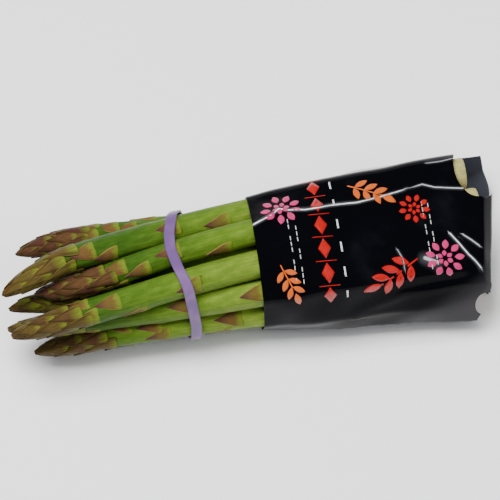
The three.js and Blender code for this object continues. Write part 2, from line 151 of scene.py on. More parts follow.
def made_plain(host: bpy.types.Object, name: str) -> bpy.types.Object:
    """Turns an object with a live modifier into one with a plain mesh.

    Args:
        host: The object with the modifier, which is removed.
        name: The name of the finished object.

    Returns:
        The finished object.
    """
    graph = bpy.context.evaluated_depsgraph_get()
    mesh = bpy.data.meshes.new_from_object(
        host.evaluated_get(graph), preserve_all_data_layers=True, depsgraph=graph
    )
    mesh.name = name
    host.modifiers.clear()
    remove_object(host)
    return add_object(name, mesh)


def smooth_faces(mesh: bpy.types.Mesh) -> None:
    """Shades every face of a mesh smooth."""
    mesh.polygons.foreach_set("use_smooth", [True] * len(mesh.polygons))


def ring_faces(rings: int, sides: int, closed: bool = False) -> list[tuple[int, int, int, int]]:
    """The faces between rings of corners, each ring closed on itself.

    Args:
        rings: How many rings there are.
        sides: How many corners a ring has.
        closed: Whether the last ring joins the first.

    Returns:
        The faces, as corner numbers.
    """
    faces = []
    for ring in range(rings if closed else rings - 1):
        after = (ring + 1) % rings
        for side in range(sides):
            beside = (side + 1) % sides
            faces.append(
                (ring * sides + side, after * sides + side, after * sides + beside, ring * sides + beside)
            )
    return faces


class Wiring:
    """Adds nodes to a tree and joins them."""

    def __init__(self, tree: bpy.types.NodeTree) -> None:
        """Starts on a tree."""
        self.tree = tree

    def add(self, kind: str, inputs: dict | None = None, **settings: object) -> bpy.types.Node:
        """Adds a node.

        Args:
            kind: The node's type.
            inputs: Values or sockets for its inputs, by name or number.
            **settings: The node's own settings.

        Returns:
            The node.
        """
        node = self.tree.nodes.new(kind)
        for name, value in settings.items():
            setattr(node, name, value)
        for key, value in (inputs or {}).items():
            self.feed(node.inputs[key], value)
        return node

    def feed(self, socket: Socket, value: object) -> None:
        """Joins an output to an input, or sets the input's own value.

        Args:
            socket: The input.
            value: An output, or a number, a vector or a colour.
        """
        if isinstance(value, Socket):
            self.tree.links.new(value, socket)
        else:
            socket.default_value = opaque(value) if socket.type == "RGBA" else value

    def math(self, operation: str, *values: object, clamp: bool = False) -> Socket:
        """The result of a Math node on numbers or sockets."""
        inputs = dict(enumerate(values))
        return self.add("ShaderNodeMath", inputs, operation=operation, use_clamp=clamp).outputs[0]

    def times(self, value: object, factor: object) -> Socket:
        """A number times another."""
        return self.math("MULTIPLY", value, factor)

    def vector(self, operation: str, *values: object) -> Socket:
        """The vector result of a Vector Math node."""
        return self.add("ShaderNodeVectorMath", dict(enumerate(values)), operation=operation).outputs[0]

    def scaled(self, vector: object, scale: object) -> Socket:
        """A vector times a number."""
        return self.add("ShaderNodeVectorMath", {0: vector, "Scale": scale}, operation="SCALE").outputs[0]

    def combine(self, x: object, y: object, z: object) -> Socket:
        """A vector from its three parts."""
        return self.add("ShaderNodeCombineXYZ", {0: x, 1: y, 2: z}).outputs[0]

    def separate(self, vector: Socket) -> tuple[Socket, ...]:
        """The three parts of a vector."""
        return tuple(self.add("ShaderNodeSeparateXYZ", {0: vector}).outputs)

    def rise(self, value: object, low: float, high: float) -> Socket:
        """A number that rises smoothly from 0 at low to 1 at high."""
        inputs = {"Value": value, "From Min": low, "From Max": high}
        return self.add("ShaderNodeMapRange", inputs, interpolation_type="SMOOTHSTEP").outputs[0]

    def fall(self, value: object, low: float, high: float) -> Socket:
        """A number that falls smoothly from 1 at low to 0 at high."""
        return self.math("SUBTRACT", 1.0, self.rise(value, low, high))

    def blend(self, share: object, first: object, second: object, mode: str = "MIX") -> Socket:
        """Two colours mixed by a share from 0 to 1."""
        inputs = {0: share, 6: first, 7: second}
        return self.add("ShaderNodeMix", inputs, data_type="RGBA", blend_type=mode).outputs[2]

    def shaded(self, colour: object, share: object, dark: Colour, light: Colour) -> Socket:
        """A colour multiplied by one between a dark and a light one, by a share from 0 to 1."""
        return self.blend(1.0, colour, self.blend(share, dark, light), mode="MULTIPLY")

    def ramp(self, value: object, stops: Sequence[tuple[float, Colour]]) -> Socket:
        """A colour read off a row of colour stops.

        Args:
            value: Where to read, from 0 to 1.
            stops: The place of each stop and its colour.

        Returns:
            The colour.
        """
        node = self.add("ShaderNodeValToRGB", {0: value})
        band = node.color_ramp.elements
        while len(band) < len(stops):
            band.new(0.5)
        for element, (position, colour) in zip(band, stops):
            element.position = position
            element.color = opaque(colour)
        return node.outputs[0]

    def noise(self, vector: object, scale: float, detail: float = 2.0, roughness: float = 0.5) -> Socket:
        """A noise from 0 to 1 of a scale, with finer noises in it."""
        inputs = {"Vector": vector, "Scale": scale, "Detail": detail, "Roughness": roughness}
        return self.add("ShaderNodeTexNoise", inputs).outputs[0]

    def grained(
        self, vector: object, factors: Triple, scale: float, detail: float = 2.0, roughness: float = 0.5
    ) -> Socket:
        """A noise from 0 to 1 that is finer along each axis by a factor."""
        return self.noise(self.vector("MULTIPLY", vector, factors), scale, detail, roughness)

    def attribute(self, name: str, output: str = "Fac") -> Socket:
        """A surface's own stored value, as a number, a vector or a colour."""
        return self.add("ShaderNodeAttribute", attribute_name=name).outputs[output]

    def object_place(self) -> Socket:
        """Where a point of the surface is, in its object's own space."""
        return self.add("ShaderNodeTexCoord").outputs["Object"]

    def relief(self, shader: bpy.types.Node, height: object, strength: float, distance: float) -> None:
        """Gives a surface a fine relief of some height, in metres."""
        inputs = {"Strength": strength, "Distance": distance, "Height": height}
        self.feed(shader.inputs["Normal"], self.add("ShaderNodeBump", inputs).outputs[0])


def new_material(name: str) -> tuple[bpy.types.Material, Wiring, bpy.types.Node]:
    """A material with one Principled shader.

    Args:
        name: The material's name.

    Returns:
        The material, the wiring of its tree, and the shader.
    """
    material = bpy.data.materials.new(name)
    material.use_nodes = True
    shader = next(node for node in material.node_tree.nodes if node.type == "BSDF_PRINCIPLED")
    return material, Wiring(material.node_tree), shader


class GrowthTree:
    """A Geometry Nodes tree with named inputs, which makes a plain mesh."""

    def __init__(self, name: str, inputs: dict[str, str]) -> None:
        """Makes the tree with its inputs.

        Args:
            name: The tree's name.
            inputs: The socket type of each named input.
        """
        self.tree = bpy.data.node_groups.new(name, "GeometryNodeTree")
        self.tree.is_modifier = True
        face = self.tree.interface
        face.new_socket("Geometry", in_out="OUTPUT", socket_type="NodeSocketGeometry")
        face.new_socket("Geometry", in_out="INPUT", socket_type="NodeSocketGeometry")
        self.identifiers = {
            label: face.new_socket(label, in_out="INPUT", socket_type=kind).identifier
            for label, kind in inputs.items()
        }
        self.wiring = Wiring(self.tree)
        self.given = self.tree.nodes.new("NodeGroupInput").outputs
        self.result = self.tree.nodes.new("NodeGroupOutput").inputs["Geometry"]

    def named(self, name: str, kind: str) -> Socket:
        """A stored value of the geometry, as a field."""
        inputs = {"Name": name}
        return self.wiring.add("GeometryNodeInputNamedAttribute", inputs, data_type=kind).outputs["Attribute"]

    def store(self, geometry: object, name: str, kind: str, value: object) -> Socket:
        """The geometry with a value stored at each corner."""
        inputs = {"Geometry": geometry, "Name": name, "Value": value}
        return self.wiring.add("GeometryNodeStoreNamedAttribute", inputs, data_type=kind).outputs[0]

    def moved(self, geometry: object, how: str, vector: object) -> Socket:
        """The geometry with its corners moved to a Position, or by an Offset."""
        return self.wiring.add("GeometryNodeSetPosition", {"Geometry": geometry, how: vector}).outputs[0]

    def shape_of(self, label: str) -> Socket:
        """The geometry of the object given to a named input."""
        return self.wiring.add("GeometryNodeObjectInfo", {"Object": self.given[label]}).outputs["Geometry"]

    def planted(self, field_name: str, things: dict[str, int], placing: dict[str, object]) -> Socket:
        """Sets an object on each of the tree's points, by the point's number.

        Args:
            field_name: The stored value that numbers the points.
            things: The number that each named object goes by.
            placing: What turns and sizes the objects.

        Returns:
            The objects, joined and made real.
        """
        joined = self.wiring.add("GeometryNodeJoinGeometry")
        for label, number in things.items():
            inputs = {0: self.named(field_name, "FLOAT"), 1: float(number), "Epsilon": NUMBER_SLACK}
            chosen = self.wiring.add("FunctionNodeCompare", inputs, operation="EQUAL").outputs[0]
            inputs = {"Points": self.given["Geometry"], "Selection": chosen, "Instance": self.shape_of(label)}
            set_out = self.wiring.add("GeometryNodeInstanceOnPoints", {**inputs, **placing})
            self.wiring.feed(joined.inputs[0], set_out.outputs[0])
        return self.real(joined.outputs[0])

    def real(self, geometry: object) -> Socket:
        """The geometry with every instance made real."""
        return self.wiring.add("GeometryNodeRealizeInstances", {"Geometry": geometry}).outputs[0]

    def finish(self, geometry: object, material: Socket) -> None:
        """Makes the geometry real, smooth and of one material, and gives it out.

        Args:
            geometry: The geometry.
            material: Its material.
        """
        smooth = self.wiring.add("GeometryNodeSetShadeSmooth", {"Geometry": self.real(geometry)}).outputs[0]
        dressed = self.wiring.add("GeometryNodeSetMaterial", {"Geometry": smooth, "Material": material})
        self.wiring.feed(self.result, dressed.outputs[0])

    def grow(self, name: str, seeds: bpy.types.Mesh, values: dict[str, object]) -> bpy.types.Object:
        """Runs the tree on a mesh.

        Args:
            name: The name of the finished object.
            seeds: The mesh that the tree starts from.
            values: What each named input is given.

        Returns:
            The finished object, with no modifier on it.
        """
        host = add_object(f"{name}_seeds", seeds)
        modifier = host.modifiers.new("growth", "NODES")
        modifier.node_group = self.tree
        for label, value in values.items():
            modifier[self.identifiers[label]] = value
        return made_plain(host, name)


# ---- How the spears lie ----


class Character(Enum):
    """The colouring of a spear: how deep its green is, how purple its head and how golden its tip."""

    PURPLE = (0.75, 0.95, 0.15)
    OLIVE = (0.55, 0.45, 0.75)
    DUSKY = (0.85, 0.8, 0.1)
    YELLOW = (0.55, 0.3, 0.35)
    TAWNY = (0.55, 0.62, 0.25)
    SHADED = (1.0, 0.45, 0.75)
    RUSSET = (0.02, 0.7, 0.65)
    FRESH = (0.35, 0.12, 0.3)


@dataclass(frozen=True)
class SpearPlan:
    """One spear: its tip and its cut end along X, its sizes, where it lies and where its bracts grow.

    A place is [y, z], and there is one at the head, at the tie, at the sleeve's mouth and at the cut
    ends. A bract is how far its root is from the tip, and its degrees round the stem from the top.
    """

    tip: float
    butt: float
    size: float
    turn: float
    nod: Place
    at: tuple[Place, Place, Place, Place]
    character: Character = Character.FRESH
    bracts: tuple[Place, ...] = ()


SPEARS = (
    SpearPlan(-111, 118, 1.0, 0.4, (-2, -5), ((21, 50), (28, 32), (28, 28), (35, 21)), Character.PURPLE,
              ((36, 0), (41, -20), (43, 45), (52, 20), (61, -10), (72, 60), (86, 160))),
    SpearPlan(-121, 117, 1.08, 2.6, (-1, -1), ((-8, 56), (24, 47), (27, 41), (30, 34)), Character.SHADED,
              ((47, -20), (58, -65), (76, 110), (91, -10), (117, -45))),
    SpearPlan(-119, 118, 1.08, 1.2, (0, -1), ((-25, 42), (-15, 50), (-7, 55), (2, 36)), Character.TAWNY,
              ((34, -35), (40, 30), (43, -55), (55, -15), (67, -115), (77, 130), (95, -50))),
    SpearPlan(-120, 116, 1.0, 5.0, (0, -2), ((-13, 31), (-19, 38), (-16, 44), (-12, 35)), Character.YELLOW,
              ((45, -120), (66, 10), (78, -150), (92, -25), (128, -25))),
    SpearPlan(-108, 112, 1.02, 3.3, (-4, -3), ((-17, 23), (-21, 24), (-22, 28), (-23, 22)), Character.RUSSET,
              ((32, -15), (49, 10), (64, -10), (68, -65), (84, 150), (98, -115), (104, -35))),
    SpearPlan(-104, 121, 1.02, 4.1, (1, -1), ((-4, 41), (2, 57), (14, 57), (18, 36)), Character.PURPLE,
              ((37, -40), (46, -5), (45, -115), (57, -55), (73, -15), (98, -80))),
    SpearPlan(-118, 115, 0.96, 0.9, (0, -1), ((-6, 35), (-6, 33), (-6, 35), (-9, 21))),
    SpearPlan(-104, 119, 0.98, 2.0, (1, -1), ((18, 30), (10, 30), (12, 30), (21, 21)), Character.DUSKY),
    SpearPlan(-93, 118, 0.98, 5.6, (2, 1), ((17, 20), (21, 16), (24, 14), (41, 9)), Character.PURPLE),
    SpearPlan(-99, 116, 1.0, 3.8, (1, -1), ((9, 11), (10, 8), (14, 9), (27, 9)), Character.OLIVE),
    SpearPlan(-101, 115, 0.96, 1.7, (0, 2), ((-4, 11), (-4, 8), (1, 9), (12, 9))),
    SpearPlan(-98, 112, 1.0, 0.1, (-2, -1), ((-14, 14), (-16, 13), (-14, 12), (-16, 9)), Character.OLIVE),
    SpearPlan(-98, 117, 0.98, 4.6, (0, 1), ((6, 34), (2, 41), (2, 42), (6, 21)), Character.DUSKY),
    SpearPlan(-104, 116, 0.97, 2.9, (1, -1), ((0, 25), (-2, 22), (-1, 20), (-2, 9))),
)


@dataclass
class Lie:
    """Where every spear lies: its middle and its radius at any X.

    The spears settle at stations along X, in passes that push them apart, straighten them and hold them
    within the band.
    """

    neck_radius: float = 6.1
    butt_radius: float = 7.1
    head_length: float = 37.0
    tie_x: float = -29.5
    tie_middle: Place = (2.5, 31.7)
    tie_radius: float = 31.8
    tie_spread: float = 0.1
    mouth_x: float = 6.5
    first_place_x: float = -112.0
    last_place_x: float = 112.0
    past_ends: float = 3.0
    spear_gap: float = 0.8
    film_room: float = 2.6
    band_room: float = 1.9
    stations: int = 23
    passes: int = 420
    smooth_passes: int = 300
    smooth_every: int = 8
    circle_points: int = 96
    outline: tuple[Place, ...] = (
        (0, 0.12), (0.05, 0.36), (0.14, 0.6), (0.26, 0.82), (0.45, 1.0), (0.7, 1.06), (1, 1),
    )
    settled: list[list[list[float]]] = field(default_factory=list)

    def __post_init__(self) -> None:
        """Finds the stations and settles the spears on each other."""
        self.places_x = (self.first_place_x, self.tie_x, self.mouth_x, self.last_place_x)
        self.first_x = min(plan.tip for plan in SPEARS) - self.past_ends
        self.last_butt = max(plan.butt for plan in SPEARS)
        self.step = (self.last_butt + self.past_ends - self.first_x) / (self.stations - 1)
        self.settle()

    def radius(self, index: int, along: float) -> float:
        """The radius of a spear at a distance from its tip.

        Args:
            index: The spear's number, from 0.
            along: The distance from its tip.

        Returns:
            The radius, and 0 off the spear.
        """
        plan = SPEARS[index]
        length = plan.butt - plan.tip
        if along < 0 or along > length:
            return 0.0
        if along < self.head_length:
            lengths, radii = zip(*self.outline)
            return plan.size * self.neck_radius * float(np.interp(along / self.head_length, lengths, radii))
        down = (along - self.head_length) / (length - self.head_length)
        return plan.size * (self.neck_radius + (self.butt_radius - self.neck_radius) * down)

    def reach(self, index: int, x: float) -> float:
        """The radius of a spear at X. Past its cut end a spear keeps its place in the rows."""
        return self.radius(index, min(x, SPEARS[index].butt) - SPEARS[index].tip)

    def rough_place(self, plan: SpearPlan, x: float) -> list[float]:
        """A spear's place at X by straight lines between its four named places."""
        return [float(np.interp(x, self.places_x, [place[k] for place in plan.at])) for k in (0, 1)]

    def push_apart(self, places: list[list[float]], radii: list[float], x: float) -> None:
        """Pushes crossing spears apart at one station, and lifts what would be under the surface.

        Args:
            places: The [y, z] of each spear, which are changed.
            radii: The radius of each spear.
            x: Where the station is.
        """
        live = [i for i, radius in enumerate(radii) if radius > 0]
        for n, i in enumerate(live):
            for j in live[n + 1:]:
                dy, dz = places[j][0] - places[i][0], places[j][1] - places[i][1]
                apart = math.hypot(dy, dz)
                short = radii[i] + radii[j] + self.spear_gap - apart
                if short > 0:
                    push = (0.5 * short) / apart
                    places[i] = [places[i][0] - push * dy, places[i][1] - push * dz]
                    places[j] = [places[j][0] + push * dy, places[j][1] + push * dz]
        room = self.film_room if x > self.mouth_x - self.step else self.band_room
        for place, radius in zip(places, radii):
            place[1] = max(place[1], radius + room)

    def hold_together(self, places: list[list[float]], radii: list[float], x: float) -> None:
        """Keeps the spears within the circle of the band, which widens away from it.

        Args:
            places: The [y, z] of each spear, which are changed.
            radii: The radius of each spear.
            x: Where the station is.
        """
        reach = self.tie_radius + self.tie_spread * abs(x - self.tie_x)
        for place, radius in zip(places, radii):
            dy, dz = place[0] - self.tie_middle[0], place[1] - self.tie_middle[1]
            outside = math.hypot(dy, dz) / (reach - radius)
            if radius > 0 and outside > 1:
                place[0] = self.tie_middle[0] + dy / outside
                place[1] = self.tie_middle[1] + dz / outside

    def straighten(self) -> None:
        """Draws each spear straight between its neighbouring stations, as a stiff stem is."""
        before = [[list(place) for place in places] for places in self.settled]
        for s in range(1, len(self.settled) - 1):
            for i, place in enumerate(self.settled[s]):
                for k in (0, 1):
                    place[k] = 0.5 * before[s][i][k] + 0.25 * (before[s - 1][i][k] + before[s + 1][i][k])

    def settle(self) -> None:
        """Lays the spears on each other."""
        xs = [self.first_x + self.step * s for s in range(self.stations)]
        self.settled = [[self.rough_place(plan, x) for plan in SPEARS] for x in xs]
        nearby = (-0.5 * self.step, 0, 0.5 * self.step)
        radii = [[max(self.reach(i, x + off) for off in nearby) for i in range(len(SPEARS))] for x in xs]
        for number in range(self.passes):
            gathers = number < self.smooth_passes
            if gathers and number % self.smooth_every == 0:
                self.straighten()
            for places, sizes, x in zip(self.settled, radii, xs):
                if gathers:
                    self.hold_together(places, sizes, x)
                self.push_apart(places, sizes, x)

    def centre(self, index: int, x: float) -> np.ndarray:
        """Where a spear's middle is at X, on a smooth curve through its settled places.

        Args:
            index: The spear's number, from 0.
            x: Where along the bundle.

        Returns:
            The [y, z] of its middle.
        """
        plan = SPEARS[index]
        nodding = min(max(1 - (x - plan.tip) / self.head_length, 0), 1) ** 2
        last = self.stations - 1
        along = min(max((x - self.first_x) / self.step, 0), last - 0.001)
        start = math.floor(along)
        t = along - start
        near = [np.array(self.settled[min(max(k, 0), last)][index]) for k in range(start - 1, start + 3)]
        slope1 = 0.5 * (near[2] - near[0])
        slope2 = 0.5 * (near[3] - near[1])
        bend = 2 * (near[1] - near[2]) + slope1 + slope2
        curve = near[1] + t * (slope1 + t * (near[2] - near[1] - slope1 - bend + t * bend))
        return curve + np.array(plan.nod) * nodding

    def circles(self, x: float, reach: float) -> np.ndarray:
        """Points round every stem at X.

        Args:
            x: Where along the bundle.
            reach: How far off the stems' surfaces.

        Returns:
            The [y, z] of each point.
        """
        ring = circle(self.circle_points)
        return np.concatenate([
            self.centre(i, min(x, self.last_butt)) + (self.reach(i, x) + reach) * ring
            for i in range(len(SPEARS))
        ])

    def frame_shift(self) -> np.ndarray:
        """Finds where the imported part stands, from its sleeve's mouth and its spears' cut ends.

        Returns:
            How far it is from the bundle's own frame, along X, Y and Z.
        """
        x_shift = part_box("film_sleeve")[0].x / MM - self.mouth_x
        y_shifts = []
        for index in range(len(SPEARS)):
            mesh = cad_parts[f"spear_{index + 1:02d}"].data
            corners = np.zeros(len(mesh.vertices) * 3, np.float32)
            mesh.vertices.foreach_get("co", corners)
            corners = corners.reshape(-1, 3) / MM
            x = SPEARS[index].butt
            y, z = self.centre(index, x)
            middle = np.argmin(np.hypot(corners[:, 0] - x - x_shift, corners[:, 2] - z))
            y_shifts.append(corners[middle, 1] - y)
        return np.array([x_shift, float(np.median(y_shifts)), 0.0])


def stretched_round(points: np.ndarray) -> np.ndarray:
    """The tightest closed line round a set of points.

    Args:
        points: The points, one row each.

    Returns:
        The corners of the line, in order.
    """
    ordered = sorted(map(tuple, points))

    def half(run: Sequence[tuple[float, float]]) -> list[tuple[float, float]]:
        """One side of the line.

        Args:
            run: The points, from one end of the set to the other.

        Returns:
            The corners on that side.
        """
        line: list[tuple[float, float]] = []
        for point in run:
            while len(line) > 1 and (
                (line[-1][0] - line[-2][0]) * (point[1] - line[-2][1])
                - (line[-1][1] - line[-2][1]) * (point[0] - line[-2][0])
            ) <= 0:
                line.pop()
            line.append(point)
        return line[:-1]

    return np.array(half(ordered) + half(ordered[::-1]))


def crossings(outline: np.ndarray, middle: Place, rays: np.ndarray) -> np.ndarray:
    """Where rays from a middle cross a closed line round it.

    Args:
        outline: The corners of the line.
        middle: Where the rays start.
        rays: Their directions, one row each.

    Returns:
        The crossing of each ray.
    """
    start = outline - np.array(middle)
    edge = np.roll(start, -1, axis=0) - start
    cross = rays[:, :1] * edge[:, 1] - rays[:, 1:] * edge[:, 0]
    cross[np.abs(cross) < 1e-9] = 1e-9
    reach = (start[:, 0] * edge[:, 1] - start[:, 1] * edge[:, 0]) / cross
    share = (start[:, 0] * rays[:, 1:] - start[:, 1] * rays[:, :1]) / cross
    good = (reach > 0) & (share >= -1e-6) & (share <= 1 + 1e-6)
    furthest = np.where(good, reach, 0).max(axis=1)
    return np.array(middle) + furthest[:, None] * rays


# ---- Finishes ----


class Leaf(Enum):
    """The two kinds of blade on a spear, as the skin's material numbers them."""

    BRACT = 1
    SCALE = 2


@dataclass(frozen=True)
class SpearFinish:
    """The skin of the spears, from the deep green below the heads to the pale cut ends."""

    deep_green: Colour = srgb(52, 80, 24)
    green: Colour = srgb(84, 110, 33)
    pale_green: Colour = srgb(116, 136, 50)
    butt: Colour = srgb(163, 154, 100)
    flesh: Colour = srgb(213, 200, 148)
    flesh_rim: Colour = srgb(169, 137, 100)
    head_core: Colour = srgb(70, 52, 24)
    bract_root: Colour = srgb(94, 107, 33)
    bract_tan: Colour = srgb(83, 78, 32)
    bract_pink: Colour = srgb(93, 61, 38)
    bract_tip: Colour = srgb(72, 44, 40)
    bract_margin: Colour = srgb(125, 117, 54)
    scale_root: Colour = srgb(102, 118, 34)
    scale_olive: Colour = srgb(78, 82, 30)
    scale_brown: Colour = srgb(76, 53, 34)
    scale_purple: Colour = srgb(66, 38, 34)
    scale_tip: Colour = srgb(40, 25, 19)
    scale_gold: Colour = srgb(86, 74, 30)
    scale_margin: Colour = srgb(120, 100, 52)
    shadow_line: Colour = srgb(12, 11, 4)
    full_length: float = 0.25
    head_end: Place = (0.034, 0.043)
    roughness: float = 0.44

    def stem_colour(self, wires: Wiring, grain: object, deepness: object) -> Socket:
        """The colour of the stem along its length, with its streaks.

        Args:
            wires: The material's wiring.
            grain: Metres from the tip, and the cosine and the sine of the angle round the stem.
            deepness: How deep the green is, from 0 to 1.

        Returns:
            The colour.
        """
        along, _, _ = wires.separate(grain)
        shift = wires.times(wires.math("SUBTRACT", deepness, 0.5), -0.05)
        patchy = wires.grained(grain, (28.0, 1.0, 1.0), 1.3, 3.0)
        moved = wires.math("ADD", wires.math("ADD", along, shift), wires.times(patchy, 0.03))
        colour = wires.ramp(wires.math("DIVIDE", moved, self.full_length), (
            (0.0, self.deep_green), (0.24, self.deep_green), (0.42, self.green),
            (0.68, self.pale_green), (0.9, self.butt),
        ))
        streaks = wires.rise(wires.grained(grain, (22.0, 9.0, 9.0), 1.6, 4.0, 0.62), 0.32, 0.72)
        light = wires.blend(streaks, (0.8, 0.83, 0.76), (1.16, 1.13, 1.12))
        blots = wires.rise(wires.grained(grain, (100.0, 1.5, 1.5), 1.5, 4.0, 0.62), 0.34, 0.68)
        light = wires.shaded(light, blots, (0.8, 0.85, 0.8), (1.15, 1.1, 1.18))
        skin = wires.blend(1.0, colour, light, mode="MULTIPLY")
        return wires.blend(wires.rise(along, *self.head_end), self.head_core, skin)

    def bract_colour(self, wires: Wiring, down: object, across: object, tint: object) -> Socket:
        """The colour of a bract from its root to its tip.

        Args:
            wires: The material's wiring.
            down: 0 at the root and 1 at the tip.
            across: -1 and 1 at the two sides.
            tint: A number of the bract's own, from 0 to 1.

        Returns:
            The colour.
        """
        side = wires.math("ABSOLUTE", across)
        laid = wires.combine(down, across, tint)
        cloud = wires.grained(laid, (3.0, 1.6, 30.0), 1.4, 3.0, 0.6)
        pinkness = wires.math("MULTIPLY_ADD", tint, 0.45, wires.math("MULTIPLY_ADD", side, 0.35, -0.3))
        pinkness = wires.math("ADD", pinkness, wires.times(cloud, 0.9), clamp=True)
        middle = wires.blend(pinkness, self.bract_tan, self.bract_pink)
        ragged = wires.math("MULTIPLY_ADD", wires.math("SUBTRACT", cloud, 0.5), 0.5, down)
        colour = wires.blend(wires.rise(ragged, 0.04, 0.32), self.bract_root, middle)
        colour = wires.blend(wires.rise(ragged, 0.42, 0.9), colour, self.bract_tip)
        edge = wires.times(wires.rise(side, 0.8, 0.99), wires.rise(down, 0.05, 0.3))
        colour = wires.blend(wires.times(edge, 0.6), colour, self.bract_margin)
        veins = wires.grained(laid, (2.0, 9.0, 1.0), 1.7, 3.0)
        return wires.shaded(colour, veins, (0.66, 0.68, 0.68), (1.34, 1.32, 1.28))

    def scale_colour(
        self, wires: Wiring, down: object, across: object, tint: object, blush: object, gold: object
    ) -> Socket:
        """The colour of a scale of the head from its root to its tip.

        Args:
            wires: The material's wiring.
            down: 0 at the root and 1 at the tip.
            across: -1 and 1 at the two sides.
            tint: A number of the scale's own, from 0 to 1.
            blush: How purple the head is, from 0 to 1.
            gold: How golden the tips are, from 0 to 1.

        Returns:
            The colour.
        """
        body = wires.blend(blush, self.scale_olive, self.scale_brown)
        dark = wires.blend(blush, self.scale_brown, self.scale_purple)
        body = wires.blend(wires.times(tint, wires.math("MULTIPLY_ADD", blush, 0.8, 0.2)), body, dark)
        reach = wires.math("MULTIPLY_ADD", tint, 0.16, wires.math("MULTIPLY_ADD", blush, -0.16, 0.34))
        root = wires.blend(wires.times(blush, 0.5), self.scale_root, self.scale_olive)
        colour = wires.blend(wires.math("DIVIDE", down, reach, clamp=True), root, body)
        tip = wires.blend(gold, self.scale_tip, self.scale_gold)
        colour = wires.blend(wires.rise(down, 0.45, 0.95), colour, tip)
        side = wires.math("ABSOLUTE", across)
        # Darker towards the sides: partly the scale's own darker margin, partly painted shade of its curved
        # sides.
        colour = wires.blend(wires.times(wires.rise(side, 0.35, 0.85), 0.6), colour, self.scale_tip)
        colour = wires.blend(wires.times(wires.rise(side, 0.8, 0.88), 0.5), colour, self.scale_margin)
        colour = wires.blend(wires.rise(side, 0.9, 0.97), colour, self.shadow_line)
        veins = wires.grained(wires.combine(down, across, tint), (1.6, 9.0, 40.0), 1.9, 3.0)
        return wires.shaded(colour, wires.rise(veins, 0.3, 0.72), (0.62, 0.62, 0.62), (1.42, 1.38, 1.3))

    def build(self) -> bpy.types.Material:
        """Makes the material of every spear.

        Returns:
            The material.
        """
        material, wires, shader = new_material("asparagus_skin")
        grain = wires.attribute("grain", "Vector")
        tint = wires.attribute("tint")
        cut = wires.attribute("cut")
        deepness, blush, gold = wires.separate(wires.attribute("character", "Vector"))
        down, across, kind = wires.separate(wires.attribute("leaf", "Vector"))
        is_bract, is_scale = (
            wires.math("COMPARE", kind, float(leaf.value), NUMBER_SLACK) for leaf in (Leaf.BRACT, Leaf.SCALE)
        )

        colour = self.stem_colour(wires, grain, deepness)
        colour = wires.blend(is_bract, colour, self.bract_colour(wires, down, across, tint))
        colour = wires.blend(is_scale, colour, self.scale_colour(wires, down, across, tint, blush, gold))
        leafy = wires.math("MAXIMUM", wires.times(is_bract, 0.35), is_scale)
        colour = wires.blend(wires.times(wires.fall(down, -0.06, 0.03), leafy), colour, self.shadow_line)

        core = wires.blend(wires.rise(cut, 0.72, 0.98), self.flesh_rim, self.flesh)
        core = wires.shaded(core, wires.noise(grain, 30.0, 3.0), (0.86, 0.84, 0.8), (1.1, 1.1, 1.08))
        wires.feed(shader.inputs["Base Color"], wires.blend(wires.rise(cut, 0.02, 0.2), colour, core))

        wires.relief(shader, wires.grained(grain, (60.0, 26.0, 26.0), 1.5, 3.0), 0.35, 0.00025)
        wear_and_glint = wires.grained(grain, (90.0, 1.0, 1.0), 2.0)
        wires.feed(shader.inputs["Roughness"], wires.math("MULTIPLY_ADD", wear_and_glint, 0.2, self.roughness - 0.1))
        shader.inputs["Specular IOR Level"].default_value = 0.07
        shader.inputs["Subsurface Weight"].default_value = 0.08
        shader.inputs["Subsurface Radius"].default_value = (0.5, 0.6, 0.2)
        shader.inputs["Subsurface Scale"].default_value = 0.002
        return material


@dataclass(frozen=True)
class RubberFinish:
    """Satin lilac rubber, with painted shade along the band's two sides."""

    lilac: Colour = srgb(113, 83, 131)
    shade: Colour = srgb(92, 67, 113)
    roughness: float = 0.46

    def build(self) -> bpy.types.Material:
        """Makes the material of the rubber band.

        Returns:
            The material.
        """
        material, wires, shader = new_material("lilac_rubber")
        cloud = wires.noise(wires.object_place(), 90.0, 3.0)
        colour = wires.blend(wires.rise(cloud, 0.35, 0.7), self.shade, self.lilac)
        laid = wires.attribute("band_lie", "Vector")
        _, across, _ = wires.separate(laid)
        # Painted shade: darker towards the band's two sides.
        edge = wires.rise(wires.math("ABSOLUTE", across), 0.8, 1.0)
        wires.feed(shader.inputs["Base Color"], wires.blend(wires.times(edge, 0.5), colour, self.shade))
        wires.relief(shader, wires.grained(laid, (12.0, 6.0, 0.0), 3.0, 3.0), 0.25, 0.0002)
        wires.feed(shader.inputs["Roughness"], wires.math("MULTIPLY_ADD", cloud, 0.14, self.roughness - 0.07))
        shader.inputs["Subsurface Weight"].default_value = 0.05
        shader.inputs["Subsurface Scale"].default_value = 0.001
        return material


